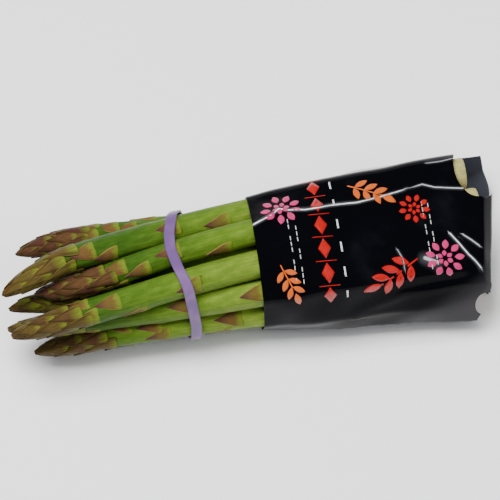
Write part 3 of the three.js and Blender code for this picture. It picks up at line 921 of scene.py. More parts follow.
@dataclass(frozen=True)
class FilmFinish:
    """Glossy black film, slate blue on its inner face, with painted highlights along its creases and a
    painted grey reflection low down towards its end.
    """

    black: Colour = srgb(5, 5, 8)
    scuffed: Colour = srgb(16, 17, 21)
    slate: Colour = srgb(40, 43, 51)
    slate_worn: Colour = srgb(52, 54, 61)
    # The colour, the line and the halo of the painted highlights along the creases.
    glint: Colour = srgb(240, 243, 250)
    glint_core: Place = (0.08, 0.42)
    glint_halo: Place = (0.2, 1.5)
    halo_strength: float = 0.08
    # Painted grey reflection low down towards the film's end: its colour, where its line starts and how
    # steeply it rises.
    painted_reflection: Colour = srgb(58, 56, 58)
    painted_reflection_from: float = 0.04
    painted_reflection_slope: float = 0.45
    roughness: float = 0.1
    refraction: float = 1.14

    def face(self, name: str, plain: Colour, wear_and_glint: Colour, painted_reflection: Colour) -> bpy.types.Material:
        """Makes the material of one face of the film.

        Args:
            name: The material's name.
            plain: The film's own colour.
            wear_and_glint: The colour where it is scuffed.
            painted_reflection: The colour of the painted grey reflection low down towards the film's end,
                below a line that rises along X.

        Returns:
            The material.
        """
        material, wires, shader = new_material(name)
        place = wires.object_place()
        smear = wires.noise(place, 34.0, 4.0, 0.6)
        colour = wires.blend(wires.rise(smear, 0.5, 0.85), plain, wear_and_glint)
        # Painted grey reflection: lighter low down towards the end, below a line that rises along X.
        x, _, z = wires.separate(place)
        line_z = wires.times(wires.math("SUBTRACT", x, self.painted_reflection_from), self.painted_reflection_slope)
        colour = wires.blend(wires.fall(wires.math("SUBTRACT", z, line_z), -0.006, 0.012), colour, painted_reflection)
        # Painted highlights: a thin bright line along each crease with a faint halo, broken up by the scuff
        # noise.
        off = wires.math("ABSOLUTE", wires.attribute("glint_off"))
        halo = wires.times(wires.fall(off, *self.glint_halo), self.halo_strength)
        line = wires.math("MAXIMUM", wires.fall(off, *self.glint_core), halo)
        glint = wires.times(wires.times(line, wires.attribute("glint")), wires.rise(smear, 0.24, 0.5))
        wires.feed(shader.inputs["Base Color"], wires.blend(glint, colour, self.glint))
        wires.relief(shader, wires.noise(place, 55.0, 2.0, 0.4), 0.3, 0.0006)
        wires.feed(shader.inputs["Roughness"], wires.math("MULTIPLY_ADD", smear, 0.12, self.roughness - 0.04))
        shader.inputs["IOR"].default_value = self.refraction
        return material

    def build(self) -> bpy.types.Material:
        """Makes the material of the outer face."""
        return self.face("black_film", self.black, self.scuffed, self.painted_reflection)

    def build_inner(self) -> bpy.types.Material:
        """Makes the material of the inner face."""
        return self.face("slate_film", self.slate, self.slate_worn, self.slate_worn)


@dataclass(frozen=True)
class InkFinish:
    """Printing ink on film, slightly less glossy than the film."""

    roughness: float = 0.22

    def build(self) -> bpy.types.Material:
        """Makes the material of the print.

        Returns:
            The material.
        """
        material, wires, shader = new_material("printing_ink")
        grain = wires.noise(wires.object_place(), 900.0)
        colour = wires.shaded(wires.attribute("ink", "Color"), grain, (0.8, 0.8, 0.8), (1.08, 1.08, 1.08))
        wires.feed(shader.inputs["Base Color"], colour)
        wires.feed(shader.inputs["Roughness"], wires.math("MULTIPLY_ADD", grain, 0.1, self.roughness - 0.05))
        return material


# ---- Spears ----


@dataclass(frozen=True)
class BladeShape:
    """A blade as long, as wide and as thick as 1, which grow to their size on the spear.

    Each line of width or of height is read from the root (0) to the tip (1).
    """

    kind: Leaf
    width: tuple[Place, ...]
    height: tuple[Place, ...]
    crown: float
    rim: float
    sunk: float
    rows: int = 12
    columns: int = 8

    def build(self) -> bpy.types.Object:
        """Makes the blade, closed all round, with its own place stored at each corner.

        Returns:
            The blade.
        """
        downs = np.array(sorted({*np.linspace(self.height[0][0], 1.0, self.rows + 1), 0.0}))
        widths = np.interp(downs, *zip(*self.width))
        heights = np.interp(downs, *zip(*self.height))
        sides = np.sin(np.linspace(-0.5, 0.5, self.columns + 1) * np.pi)
        across, down = np.meshgrid(sides, downs)
        bulge = 1 - self.crown * across**2
        bulge[:, [0, -1]] *= self.rim
        over = np.stack([-down, across * widths[:, None], heights[:, None] * bulge], axis=2)
        under = over.copy()
        under[:, :, 2] = -self.sunk
        rows, columns = down.shape
        faces = []
        for row in range(rows - 1):
            for column in range(columns - 1):
                a = row * columns + column
                b, c, d = a + 1, a + 1 + columns, a + columns
                faces += [(a, b, c, d), tuple(rows * columns + k for k in (a, d, c, b))]
        rim = (
            [(0, c) for c in range(columns - 1)]
            + [(r, columns - 1) for r in range(rows - 1)]
            + [(rows - 1, c) for c in range(columns - 1, 0, -1)]
            + [(r, 0) for r in range(rows - 1, 0, -1)]
        )
        ring = [row * columns + column for row, column in rim]
        for k, corner in enumerate(ring):
            after = ring[(k + 1) % len(ring)]
            faces.append((corner, corner + rows * columns, after + rows * columns, after))
        points = np.concatenate([over.reshape(-1, 3), under.reshape(-1, 3)])
        mesh = make_mesh(f"{self.kind.name.lower()}_blade", points, faces)
        kinds = np.full(down.size, self.kind.value)
        own = np.stack([down.ravel(), across.ravel(), kinds], axis=1)
        put_attributes(mesh, leaf=np.concatenate([own, own]))
        return add_object(mesh.name, mesh)


BRACT = BladeShape(
    kind=Leaf.BRACT,
    width=((-0.1, 0.88), (0, 0.98), (0.1, 1.0), (0.35, 0.82), (0.6, 0.52), (0.82, 0.24), (1, 0.03)),
    height=((-0.1, -0.3), (-0.04, 0.45), (0.03, 0.95), (0.1, 1.0), (0.4, 0.74), (0.75, 0.62), (1, 0.85)),
    crown=0.45,
    rim=0.4,
    sunk=0.9,
)
SCALE = BladeShape(
    kind=Leaf.SCALE,
    width=((-0.06, 0.7), (0, 0.9), (0.06, 1.0), (0.2, 0.94), (0.4, 0.74), (0.6, 0.5), (0.8, 0.26), (1, 0.03)),
    height=((-0.06, -0.3), (-0.02, 0.45), (0.03, 0.92), (0.12, 1.02), (0.3, 0.98), (0.6, 1.12), (1, 1.45)),
    crown=0.36,
    rim=0.75,
    sunk=0.9,
    rows=14,
)


@dataclass
class SpearMaker:
    """Grows spears: a stem with its bracts and its scaled head, rolled out and then wrapped on its axis.

    Rolled out, x is the length along the axis in metres, y is the angle round it in radians from the
    top, and z is the height over the surface in metres. The three sets of ribs are how many go round the
    stem, how fast they twist along it, and how strong they are.
    """

    lie: Lie
    shift: np.ndarray
    finish: bpy.types.Material
    sides: int = 64
    head_rings: int = 34
    stem_rings: int = 116
    axis_points: int = 320
    lead: Place = (6.0, 0.4)
    lead_points: int = 14
    lead_tip: float = 0.05
    least_radius: float = 0.02
    head_core: tuple[Place, ...] = ((0, 0.75), (0.15, 0.8), (0.5, 0.8), (0.85, 0.87), (1.1, 1.0))
    butt_bevel: float = 0.7
    bevel_rings: tuple[Place, ...] = ((0.5, 0.3), (1.0, 0.7))
    cut_rings: tuple[Place, ...] = ((0.16, 0.05), (0.3, 0.22), (0.55, 0.3), (0.8, 0.34), (0.985, 0.34))
    head_scales: int = 22
    scale_roots: Place = (0.22, 1.1)
    scale_lengths: Place = (12.0, 16.0)
    scale_past_tip: float = 0.4
    scale_widths: Place = (1.25, 0.7)
    scale_lifts: Place = (0.36, 1.12)
    bract_length: float = 13.0
    bract_half_angle: float = 0.72
    bract_lift: float = 0.75
    pressed_lift: float = 0.3
    bract_gaps: tuple[float, ...] = (9, 15, 18, 21, 25)
    bract_turn: float = 1.1
    band_reach: float = 6.2
    band_lean: float = -0.2
    skew: float = 0.16
    rib_height: float = 0.1
    rib_length: float = 60.0
    ribs_rise: Place = (-8.0, 6.0)
    ribs: tuple[Triple, ...] = ((5, 1, 1.0), (8, -1.7, 0.6), (13, 3, 0.4))
    node_height: float = 0.42
    node_length: float = 3.2
    node_angle: float = 0.85

    def __post_init__(self) -> None:
        """Makes the two blades and the tree that all the spears share."""
        self.blades = {shape.kind.name.title(): shape.build() for shape in (BRACT, SCALE)}
        self.tree = self.make_tree()

    def make_tree(self) -> GrowthTree:
        """Makes the tree that sets blades on a rolled-out stem and wraps the whole on its axis.

        Returns:
            The tree.
        """
        tree = GrowthTree("spear_growth", {
            **{label: "NodeSocketObject" for label in ("Stem", "Axis", "Bract", "Scale")},
            "Least radius": "NodeSocketFloat",
            "Character": "NodeSocketVector",
            "Skin": "NodeSocketMaterial",
        })
        wires = tree.wiring
        size = tree.named("blade_size", "FLOAT_VECTOR")
        grown = tree.planted("kind", {leaf.name.title(): leaf.value for leaf in Leaf}, {"Scale": size})
        down, _, _ = wires.separate(tree.named("leaf", "FLOAT_VECTOR"))
        bent = wires.times(tree.named("skew", "FLOAT"), wires.times(down, down))
        turned = tree.moved(grown, "Offset", wires.combine(0.0, bent, 0.0))
        whole = wires.add("GeometryNodeJoinGeometry")
        wires.feed(whole.inputs[0], turned)
        wires.feed(whole.inputs[0], tree.shape_of("Stem"))

        along, angle, height = wires.separate(wires.add("GeometryNodeInputPosition").outputs[0])
        cosine, sine = wires.math("COSINE", angle), wires.math("SINE", angle)
        marked = tree.store(whole.outputs[0], "grain", "FLOAT_VECTOR", wires.combine(along, cosine, sine))
        marked = tree.store(marked, "character", "FLOAT_VECTOR", tree.given["Character"])
        radius = wires.add("GeometryNodeInputRadius").outputs[0]
        sample = wires.add(
            "GeometryNodeSampleCurve",
            {"Curves": tree.shape_of("Axis"), "Value": radius, "Length": along},
            mode="LENGTH",
            data_type="FLOAT",
        )
        tangent = sample.outputs["Tangent"]
        near = wires.vector("NORMALIZE", wires.vector("CROSS_PRODUCT", tangent, (0.0, 0.0, 1.0)))
        up = wires.vector("CROSS_PRODUCT", near, tangent)
        out = wires.vector("SUBTRACT", wires.scaled(up, cosine), wires.scaled(near, sine))
        reach = wires.math("ADD", sample.outputs["Value"], height)
        reach = wires.math("MAXIMUM", reach, tree.given["Least radius"])
        place = wires.vector("ADD", sample.outputs["Position"], wires.scaled(out, reach))
        tree.finish(tree.moved(marked, "Position", place), tree.given["Skin"])
        return tree

    def axis(self, index: int) -> tuple[bpy.types.Object, Callable[[float], float]]:
        """Makes the line that a spear is wrapped on, which starts a little before the tip.

        Args:
            index: The spear's number, from 0.

        Returns:
            The line, with the stem's radius at each point, and the length along it to a given X.
        """
        plan = SPEARS[index]
        xs = np.linspace(plan.tip, plan.butt, self.axis_points)
        points = np.array([[x, *self.lie.centre(index, x)] for x in xs])
        radii = np.array([self.lie.radius(index, x - plan.tip) for x in xs])
        radii[-1] = radii[-2]
        along = (xs - plan.tip) / self.lie.head_length
        radii *= np.interp(along, *zip(*self.head_core))
        ahead = np.linspace(*self.lead, self.lead_points)[:, None]
        direction = points[4] - points[0]
        lead_points = points[0] - ahead * direction / np.linalg.norm(direction)
        lead_radii = radii[0] * np.linspace(self.lead_tip, 1, self.lead_points)
        points = np.concatenate([lead_points, points]) + self.shift
        radii = np.concatenate([lead_radii, radii])
        curve = bpy.data.curves.new(f"spear_axis_{index + 1:02d}", "CURVE")
        curve.dimensions = "3D"
        spline = curve.splines.new("POLY")
        spline.points.add(len(points) - 1)
        for point, place, radius in zip(spline.points, points * MM, radii * MM):
            point.co = (*place, 1.0)
            point.radius = radius
        lengths = np.concatenate([[0], np.cumsum(np.linalg.norm(np.diff(points, axis=0), axis=1))]) * MM
        own_x = points[:, 0] - self.shift[0]
        return add_object(curve.name, curve), lambda x: float(np.interp(x, own_x, lengths))

    def stem(self, index: int, length_to: Callable[[float], float]) -> bpy.types.Object:
        """Makes a stem rolled out, with its faint ribs, its capped tip and its cut end.

        Args:
            index: The spear's number, from 0.
            length_to: The length along the axis to a given X.

        Returns:
            The stem.
        """
        plan, end = SPEARS[index], SPEARS[index].butt
        neck = plan.tip + self.lie.head_length
        head = np.linspace(plan.tip, neck, self.head_rings, endpoint=False)
        xs = np.concatenate([head, np.linspace(neck, end - self.butt_bevel, self.stem_rings)])
        radius = self.lie.radius(index, end - plan.tip - 0.01)
        turn = np.arange(self.sides) / self.sides * 2 * np.pi
        rings, cuts = [], []

        def add_ring(x: float, height: np.ndarray | float, cut: float) -> None:
            """Adds a ring of corners at X, at some height, with how much of it is cut flesh."""
            rings.append(np.stack([np.full(self.sides, length_to(x)), turn, height * MM + 0 * turn], axis=1))
            cuts.append(cut)

        for x in xs:
            ribbed = self.rib_height * smooth_step(*(neck + part for part in self.ribs_rise), x)
            wave = plan.turn + x / self.rib_length
            ribs = sum(strength * np.sin(count * turn + twist * wave) for count, twist, strength in self.ribs)
            add_ring(x, ribbed * ribs + self.swelling(index, x, turn), 0.0)
        for share, inset in self.bevel_rings:
            add_ring(end - self.butt_bevel * (1 - share), -inset * self.butt_bevel, 0.05 * share)
        for inset, hollow in self.cut_rings:
            add_ring(end - hollow, -inset * radius, 0.7 + 0.3 * inset)
        count = len(rings)
        faces: list[tuple[int, ...]] = list(ring_faces(count, self.sides))
        faces.append(tuple(range(self.sides)))
        faces.append(tuple((count - 1) * self.sides + k for k in reversed(range(self.sides))))
        mesh = make_mesh(f"stem_{index + 1:02d}", np.concatenate(rings), faces)
        corners = count * self.sides
        put_attributes(
            mesh, leaf=np.zeros((corners, 3)), tint=np.full(corners, 0.5), cut=np.repeat(cuts, self.sides)
        )
        return add_object(mesh.name, mesh)

    def bract_places(self, index: int) -> list[Place]:
        """Where the bracts of a spear grow.

        Args:
            index: The spear's number, from 0.

        Returns:
            The millimetres from the tip to each root, and its radians round the stem from the top.
        """
        plan = SPEARS[index]
        if plan.bracts:
            return [(root, math.radians(turn)) for root, turn in plan.bracts]
        roots = self.lie.head_length + np.cumsum(self.bract_gaps)
        return [
            (root, plan.turn + self.bract_turn + math.radians(90 - (k + 1) * GOLDEN_ANGLE))
            for k, root in enumerate(roots)
        ]

    def swelling(self, index: int, x: float, turn: np.ndarray) -> np.ndarray:
        """How far a stem swells where its bracts root.

        Args:
            index: The spear's number, from 0.
            x: Where along the bundle.
            turn: The angles round the stem.

        Returns:
            The height at each angle, in millimetres.
        """
        swell = np.zeros(len(turn))
        for root, angle in self.bract_places(index):
            if self.under_band(index, root):
                continue
            along = (x - SPEARS[index].tip - root) / self.node_length
            round_it = (np.mod(turn - angle + np.pi, 2 * np.pi) - np.pi) / self.node_angle
            swell += self.node_height * np.exp(-(along**2) - round_it**2)
        return swell

    def under_band(self, index: int, root: float) -> bool:
        """Whether the rubber band lies over a bract.

        Args:
            index: The spear's number, from 0.
            root: How far the bract's root is from the tip.

        Returns:
            True where it does.
        """
        z = self.lie.centre(index, self.lie.tie_x)[1]
        band = self.lie.tie_x + self.band_lean * (z - self.lie.tie_middle[1])
        x = SPEARS[index].tip + root
        return x > band - self.band_reach and x - self.bract_length < band + self.band_reach

    def seeds(self, index: int, length_to: Callable[[float], float]) -> bpy.types.Mesh:
        """Makes the points that the blades grow from, rolled out, with each blade's size.

        Args:
            index: The spear's number, from 0.
            length_to: The length along the axis to a given X.

        Returns:
            A mesh of points.
        """
        plan = SPEARS[index]
        chance = random.Random(FIRST_SEED + index)
        places, sizes, kinds, tints, skews = [], [], [], [], []

        def sow(kind: Leaf, root: float, turn: float, length: float, half_angle: float, lift: float) -> None:
            """Adds one blade: where it roots, its turn round the stem, and its three sizes.

            Args:
                kind: Its kind.
                root: How far from the tip it roots, in millimetres.
                turn: Its radians round the stem.
                length: How long it is, in millimetres.
                half_angle: Half its width, in radians round the stem.
                lift: How thick it is, in millimetres.
            """
            places.append((length_to(plan.tip + root), turn, 0.0))
            sizes.append((length * MM, half_angle, lift * MM))
            kinds.append(kind.value)
            tints.append(chance.random())
            skews.append(chance.uniform(-self.skew, self.skew))

        for k in range(self.head_scales):
            down = 1 - k / self.head_scales
            root, length, width, lift = (
                np.interp(down, (0, 1), ends)
                for ends in (self.scale_roots, self.scale_lengths, self.scale_widths, self.scale_lifts)
            )
            root *= self.lie.head_length * chance.uniform(0.98, 1.02)
            length *= plan.size * chance.uniform(0.9, 1.1)
            turn = plan.turn + math.radians(90 + k * GOLDEN_ANGLE) + chance.uniform(-0.12, 0.12)
            width *= chance.uniform(0.92, 1.08)
            sow(Leaf.SCALE, root, turn, min(length, root + self.scale_past_tip), width, lift)
        for root, turn in self.bract_places(index):
            lift = self.pressed_lift if self.under_band(index, root) else self.bract_lift
            sow(Leaf.BRACT, root, turn, self.bract_length * chance.uniform(0.95, 1.1),
                self.bract_half_angle * chance.uniform(0.92, 1.05), lift)
        mesh = make_mesh(f"blade_roots_{index + 1:02d}", np.array(places), [])
        put_attributes(mesh, blade_size=sizes, kind=kinds, tint=tints, skew=skews)
        return mesh

    def build(self, index: int) -> bpy.types.Object:
        """Grows one spear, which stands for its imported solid.

        Args:
            index: The spear's number, from 0.

        Returns:
            The spear.
        """
        axis, length_to = self.axis(index)
        stem = self.stem(index, length_to)
        name = f"spear_{index + 1:02d}"
        spear = self.tree.grow(f"{name}_grown", self.seeds(index, length_to), {
            "Stem": stem,
            "Axis": axis,
            **self.blades,
            "Least radius": self.least_radius * MM,
            "Character": SPEARS[index].character.value,
            "Skin": self.finish,
        })
        remove_object(axis)
        remove_object(stem)
        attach(spear, "root")
        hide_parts(name)
        return spear

    def build_all(self) -> list[bpy.types.Object]:
        """Grows every spear and clears away the two blades they grew from.

        Returns:
            The spears.
        """
        spears = [self.build(index) for index in range(len(SPEARS))]
        for blade in self.blades.values():
            remove_object(blade)
        return spears


# ---- The rubber band ----


@dataclass
class RubberBand:
    """A flat rubber band stretched round the stems.

    Its course is how far along X it lies from the tie at each angle round the bundle, in degrees from
    the far side up over the top.
    """

    lie: Lie
    shift: np.ndarray
    finish: bpy.types.Material
    width: float = 5.4
    thickness: float = 1.2
    course: tuple[Place, ...] = (
        (0, 2), (45, -2), (70, -5.3), (90, -6.2), (110, -4.1), (130, -0.5), (150, 0.8), (180, 2.2),
        (195, 1.8), (225, 1.5), (270, 0.5), (315, 1.5), (360, 2),
    )
    course_passes: int = 7
    gap: float = 0.7
    steps: int = 216
    flat_spot: float = 0.8
    corner: float = 0.35

    def section(self) -> list[Place]:
        """Draws the band's rounded section.

        Returns:
            The corners of the section: across from -1 to 1, and out from 0 to 1.
        """
        edge = self.corner / self.thickness
        side = 1 - 2 * self.corner / self.width
        outer = [(-side, 1), (-0.5 * side, 1.02), (0, 1.03), (0.5 * side, 1.02), (side, 1)]
        right = [(0.5 * (1 + side), 1 - 0.3 * edge), (1, 1 - edge), (1, edge)]
        left = [(-1, edge), (-1, 1 - edge), (-0.5 * (1 + side), 1 - 0.3 * edge)]
        return [*outer, *right, (side, 0), (0, 0), (-side, 0), *left]

    def stretched(self, turn: np.ndarray, profile: Sequence[Place]) -> np.ndarray:
        """Stretches the band's section round the stems.

        Args:
            turn: The angles round the bundle.
            profile: The corners of the section.

        Returns:
            The corners of the band, by the corners of the section and the angles.
        """
        course = np.interp(np.degrees(turn), *zip(*self.course))
        for _ in range(self.course_passes):
            course = 0.5 * course + 0.25 * (np.roll(course, 1) + np.roll(course, -1))
        points = np.zeros((len(profile), len(turn), 3))
        for k, angle in enumerate(turn):
            x = self.lie.tie_x + course[k]
            ray = np.array([[np.cos(angle), np.sin(angle)]])
            (inner0, outer0), (inner1, outer1) = (
                [
                    crossings(stretched_round(self.lie.circles(side_x, reach)), self.lie.tie_middle, ray)[0]
                    for reach in (self.gap, self.gap + self.thickness)
                ]
                for side_x in (x - 0.5 * self.width, x + 0.5 * self.width)
            )
            for row, (across, out) in enumerate(profile):
                share = 0.5 * (across + 1)
                inner = (1 - share) * inner0 + share * inner1
                outer = (1 - share) * outer0 + share * outer1
                y, z = inner + (outer - inner) * out
                lowest = self.thickness * (1 - min(out, 1))
                z = lowest if z < lowest + self.flat_spot else z
                points[row, k] = (x + across * 0.5 * self.width, y, z)
        return points

    def build(self) -> bpy.types.Object:
        """Makes the band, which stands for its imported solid.

        Returns:
            The band.
        """
        turn = np.arange(self.steps) / self.steps * 2 * np.pi
        profile = self.section()
        points = self.stretched(turn, profile)
        faces = [face[::-1] for face in ring_faces(len(profile), self.steps, closed=True)]
        mesh = make_mesh("rubber_band_stretched", (points.reshape(-1, 3) + self.shift) * MM, faces)
        laid = [(angle, across, 0.0) for across, _ in profile for angle in turn]
        put_attributes(mesh, band_lie=laid)
        smooth_faces(mesh)
        mesh.materials.append(self.finish)
        band = add_object("rubber_band_stretched", mesh)
        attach(band, "root")
        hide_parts("rubber_band")
        return band


# ---- The film sleeve ----


@dataclass(frozen=True)
class Crease:
    """A ridge in the film's upper layer: where it runs [x, y], its height, its half width and its glint.

    The glint is how bright the painted highlight on the ridge is, and its spread is how many times wider it
    is.
    """

    path: tuple[Place, ...]
    height: float
    half_width: float
    glint: float = 0.0
    spread: float = 1.0


@dataclass(frozen=True)
class Bite:
    """A round or oval bite out of the film, from above: where its axis meets the floor, and its radius.

    It is longer across the bundle by its stretch, leans back by some degrees, and cuts above its bottom.
    """

    x: float
    y: float
    radius: float
    stretch: float = 1.0
    lean: float = 0.0
    bottom: float = -15.0

    def outside(self, points: np.ndarray) -> np.ndarray:
        """How far points are outside the bite.

        Args:
            points: The points.

        Returns:
            Their distances in millimetres, which are below 0 inside it.
        """
        lean = math.radians(self.lean)
        across = (points[..., 1] - self.y) * math.cos(lean) + points[..., 2] * math.sin(lean)
        off = np.hypot(points[..., 0] - self.x, across / self.stretch) - self.radius
        return np.maximum(off, self.bottom - points[..., 2])


@dataclass(frozen=True)
class Ripple:
    """A wave in the film: its height, and the millimetres of X, Y and Z in which it turns by a radian."""

    height: float
    x: float
    y: float = math.inf
    z: float = math.inf
    phase: float = 0.0

    def at(self, points: np.ndarray) -> np.ndarray:
        """The wave's height at each point."""
        x, y, z = (points[..., k] for k in range(3))
        return self.height * np.sin(x / self.x + z / self.z + y / self.y + self.phase)


@dataclass(frozen=True)
class SideFold:
    """Where the film folds at one side: its y at the mouth and where it is fully open, and its height."""

    mouth: float
    opened: float
    open_x: float
    z: float


@dataclass
class FilmSleeve:
    """A film sleeve stretched round the stems, folded at its two sides and open at both ends."""

    lie: Lie
    shift: np.ndarray
    finish: bpy.types.Material
    inner_finish: bpy.types.Material
    reach: float = 2.4
    mouth_reach: float = 1.2
    loosens: float = 24.0
    thickness: float = 0.35
    narrows_x: float = 121.5
    end_x: float = 126.5
    slants_x: float = 104.0
    end_slant: float = 0.18
    end_corner: Place = (36.0, 0.03)
    middle_y: float = 4.0
    middle_z: Place = (31.0, 20.0)
    proportion: Place = (40.0, 24.0)
    near_fold: SideFold = SideFold(-26, -35.5, 112, 14)
    far_fold: SideFold = SideFold(37, 48.5, 66, 27)
    fold_radius: float = 0.6
    fold_points: int = 16
    film_gap: float = 1.8
    end_height: float = 0.75
    flat_spot: float = 0.8
    upper_z: float = 24.0
    glint_reach: float = 1.6
    glint_limit: float = 9.0
    smooth_passes: int = 4
    slack_starts: float = 14.0
    slack: tuple[tuple[Ripple, Ripple], ...] = (
        (Ripple(0.22, 9, 14), Ripple(1, -31, 8)),
        (Ripple(0.16, 4.7, -11, phase=1.3), Ripple(1, 23, 5.1)),
    )
    flank_y: Place = (20.0, 31.0)
    flank_slack: tuple[Ripple, ...] = (Ripple(0.4, 8.5, z=7), Ripple(0.14, 4.3, 6, -3.7))
    bites: tuple[Bite, ...] = (
        Bite(122, 29.5, 10.7, stretch=1.54, bottom=25.5),
        Bite(125, 43, 13, bottom=25.5),
        Bite(118, -20.8, 5.8, lean=28.3),
        Bite(121.9, -34.6, 10, lean=28.3),
    )
    rings: int = 176
    columns: int = 264
    crowding: float = 0.4
    creases: tuple[Crease, ...] = (
        Crease(((7, 9), (16.5, 13), (21, 17), (25, 15), (34, 14), (46, 15), (60, 15.5), (73, 18), (86, 21)),
               0.9, 1.3, 1.0),
        Crease(((86, 21), (94, 22.5), (100, 20), (114, 18)), 0.6, 1.3, 0.5),
        Crease(((103.5, -5.4), (107, -10.6), (111, -17.4), (116, -23)), 0.6, 1.1, 0.8),
        Crease(((110, -6.5), (113.6, -9.6), (117, -13)), 0.4, 0.9, 0.5),
        Crease(((76, -11.5), (78, -16.5), (78, -21.5)), 0.4, 0.9, 0.25),
        Crease(((89, -17), (94, -19.5)), 0.5, 2.2, 0.45, 3.4),
        Crease(((98.5, 34.2), (106, 34.2), (112.5, 35.2)), 0.35, 1.0, 0.3),
        Crease(((51.5, -31.7), (76.5, -28.7), (99.5, -28.1), (120.6, -27.3)), 0.6, 1.2),
    )

    def outline(self, x: float) -> np.ndarray:
        """The film's closed line: over the stems, out to its folds, and lower past the cut ends.

        Args:
            x: Where along the bundle.

        Returns:
            The [y, z] of the line's corners, in order.
        """
        past = min(max((x - self.narrows_x) / (self.end_x - self.narrows_x), 0), 1)
        squash = 1 + (self.end_height - 1) * past
        folds = []
        for fold in (self.near_fold, self.far_fold):
            opened = min(max((x - self.lie.mouth_x) / (fold.open_x - self.lie.mouth_x), 0), 1)
            folds.append((fold.mouth + (fold.opened - fold.mouth) * opened, fold.z))
        (near_y, near_z), (far_y, far_z) = folds
        slack = min((x - self.lie.mouth_x) / self.loosens, 1)
        reach = self.mouth_reach + (self.reach - self.mouth_reach) * slack
        stems = self.lie.circles(x, reach)
        middle = near_z + (stems[:, 0] - near_y) / (far_y - near_y) * (far_z - near_z)
        stems[:, 1] = middle + (stems[:, 1] - middle) * squash
        corner = (self.fold_radius + reach - self.film_gap) * circle(self.fold_points)
        return stretched_round(np.concatenate([stems, *(np.array(fold) + corner for fold in folds)]))

    def surface(self) -> np.ndarray:
        """Stretches the smooth film over the stems.

        Returns:
            The corners, by ring from the mouth to the end and by column round it.
        """
        turn = np.arange(self.columns) / self.columns * 2 * np.pi
        turn += self.crowding * np.sin(turn) - np.pi / 2
        rays = np.stack([self.proportion[0] * np.cos(turn), self.proportion[1] * np.sin(turn)], axis=1)
        xs = np.linspace(self.lie.mouth_x, self.end_x, self.rings)
        points = np.zeros((self.rings, self.columns, 3))
        for row, x in enumerate(xs):
            down = (x - self.lie.mouth_x) / (self.end_x - self.lie.mouth_x)
            middle = (self.middle_y, self.middle_z[0] + (self.middle_z[1] - self.middle_z[0]) * down)
            points[row, :, 0] = x
            points[row, :, 1:] = crossings(self.outline(x), middle, rays)
        for _ in range(self.smooth_passes):
            inside = points[1:-1] * 0.5 + 0.25 * (points[:-2] + points[2:])
            points[1:-1, :, 1:] = inside[:, :, 1:]
        drawn = np.maximum(0, (xs - self.slants_x) / (self.end_x - self.slants_x))[:, None]
        y = points[:, :, 1]
        corner_y, rounding = self.end_corner
        past_corner = np.maximum(0, y - corner_y)
        points[:, :, 0] += drawn * (self.end_slant * (y - self.middle_y) - rounding * past_corner**2)
        return points

    def outward(self, points: np.ndarray) -> np.ndarray:
        """The outward direction at each corner of the film.

        Args:
            points: The corners, by ring and column.

        Returns:
            The directions, one unit long.
        """
        along = np.gradient(points, axis=0)
        around = np.roll(points, -1, axis=1) - np.roll(points, 1, axis=1)
        normal = np.cross(around, along)
        return normal / np.linalg.norm(normal, axis=2, keepdims=True)

    def ruffled(self, points: np.ndarray) -> np.ndarray:
        """Gives the film its slack and its creases.

        Args:
            points: The corners of the smooth film, by ring and column.

        Returns:
            The corners, moved along the film's outward direction.
        """
        x, y = points[:, :, 0], points[:, :, 1]
        slack = sum(first.at(points) * second.at(points) for first, second in self.slack)
        slack += smooth_step(*self.flank_y, -y) * sum(ripple.at(points) for ripple in self.flank_slack)
        slack *= smooth_step(self.lie.mouth_x, self.lie.mouth_x + self.slack_starts, x)
        for crease in self.creases:
            slack += crease.height * np.exp(-((self.off_path(points, crease.path) / crease.half_width) ** 2))
        moved = points + self.outward(points) * slack[:, :, None]
        floor = points[:, :, 2] < self.flat_spot
        moved[:, :, 2] = np.where(floor, 0.0, np.maximum(moved[:, :, 2], 0.0))
        return moved

    def off_path(self, points: np.ndarray, path: Sequence[Place]) -> np.ndarray:
        """How far points of the film's upper layer are off a path of straight stretches.

        Args:
            points: The points. Those of the lower layer count as far off.
            path: The corners of the path [x, y].

        Returns:
            Their distances in millimetres, which are below 0 on one side of the path.
        """
        x, y = points[..., 0], points[..., 1]
        off = np.full(x.shape, FAR_OFF)
        for (x0, y0), (x1, y1) in zip(path, path[1:]):
            ex, ey = x1 - x0, y1 - y0
            share = np.clip(((x - x0) * ex + (y - y0) * ey) / (ex * ex + ey * ey), 0, 1)
            dx, dy = x - x0 - share * ex, y - y0 - share * ey
            side = np.where(ex * dy < ey * dx, -1.0, 1.0)
            off = np.where(np.hypot(dx, dy) < np.abs(off), side * np.hypot(dx, dy), off)
        return np.where(points[..., 2] > self.upper_z, off, FAR_OFF)

    def glints(self, points: np.ndarray) -> tuple[np.ndarray, np.ndarray]:
        """The painted highlights along the creases.

        Args:
            points: The corners of the film, one row each.

        Returns:
            How strong the glint nearest to each corner is, and how far the corner is off its line.
        """
        # The creases that carry a painted highlight.
        wear_and_glint = [crease for crease in self.creases if crease.glint]
        offs = np.array([self.off_path(points, crease.path) / crease.spread for crease in wear_and_glint])
        offs = np.where(np.array([[crease.spread > 1] for crease in wear_and_glint]), np.abs(offs), offs)
        glints = np.array([crease.glint for crease in wear_and_glint])
        nearest = np.argmin(np.abs(offs), axis=0)
        off = offs[nearest, np.arange(len(nearest))]
        strength = glints[nearest] * np.exp(-((off / self.glint_reach) ** 4))
        return strength, np.clip(off, -self.glint_limit, self.glint_limit)

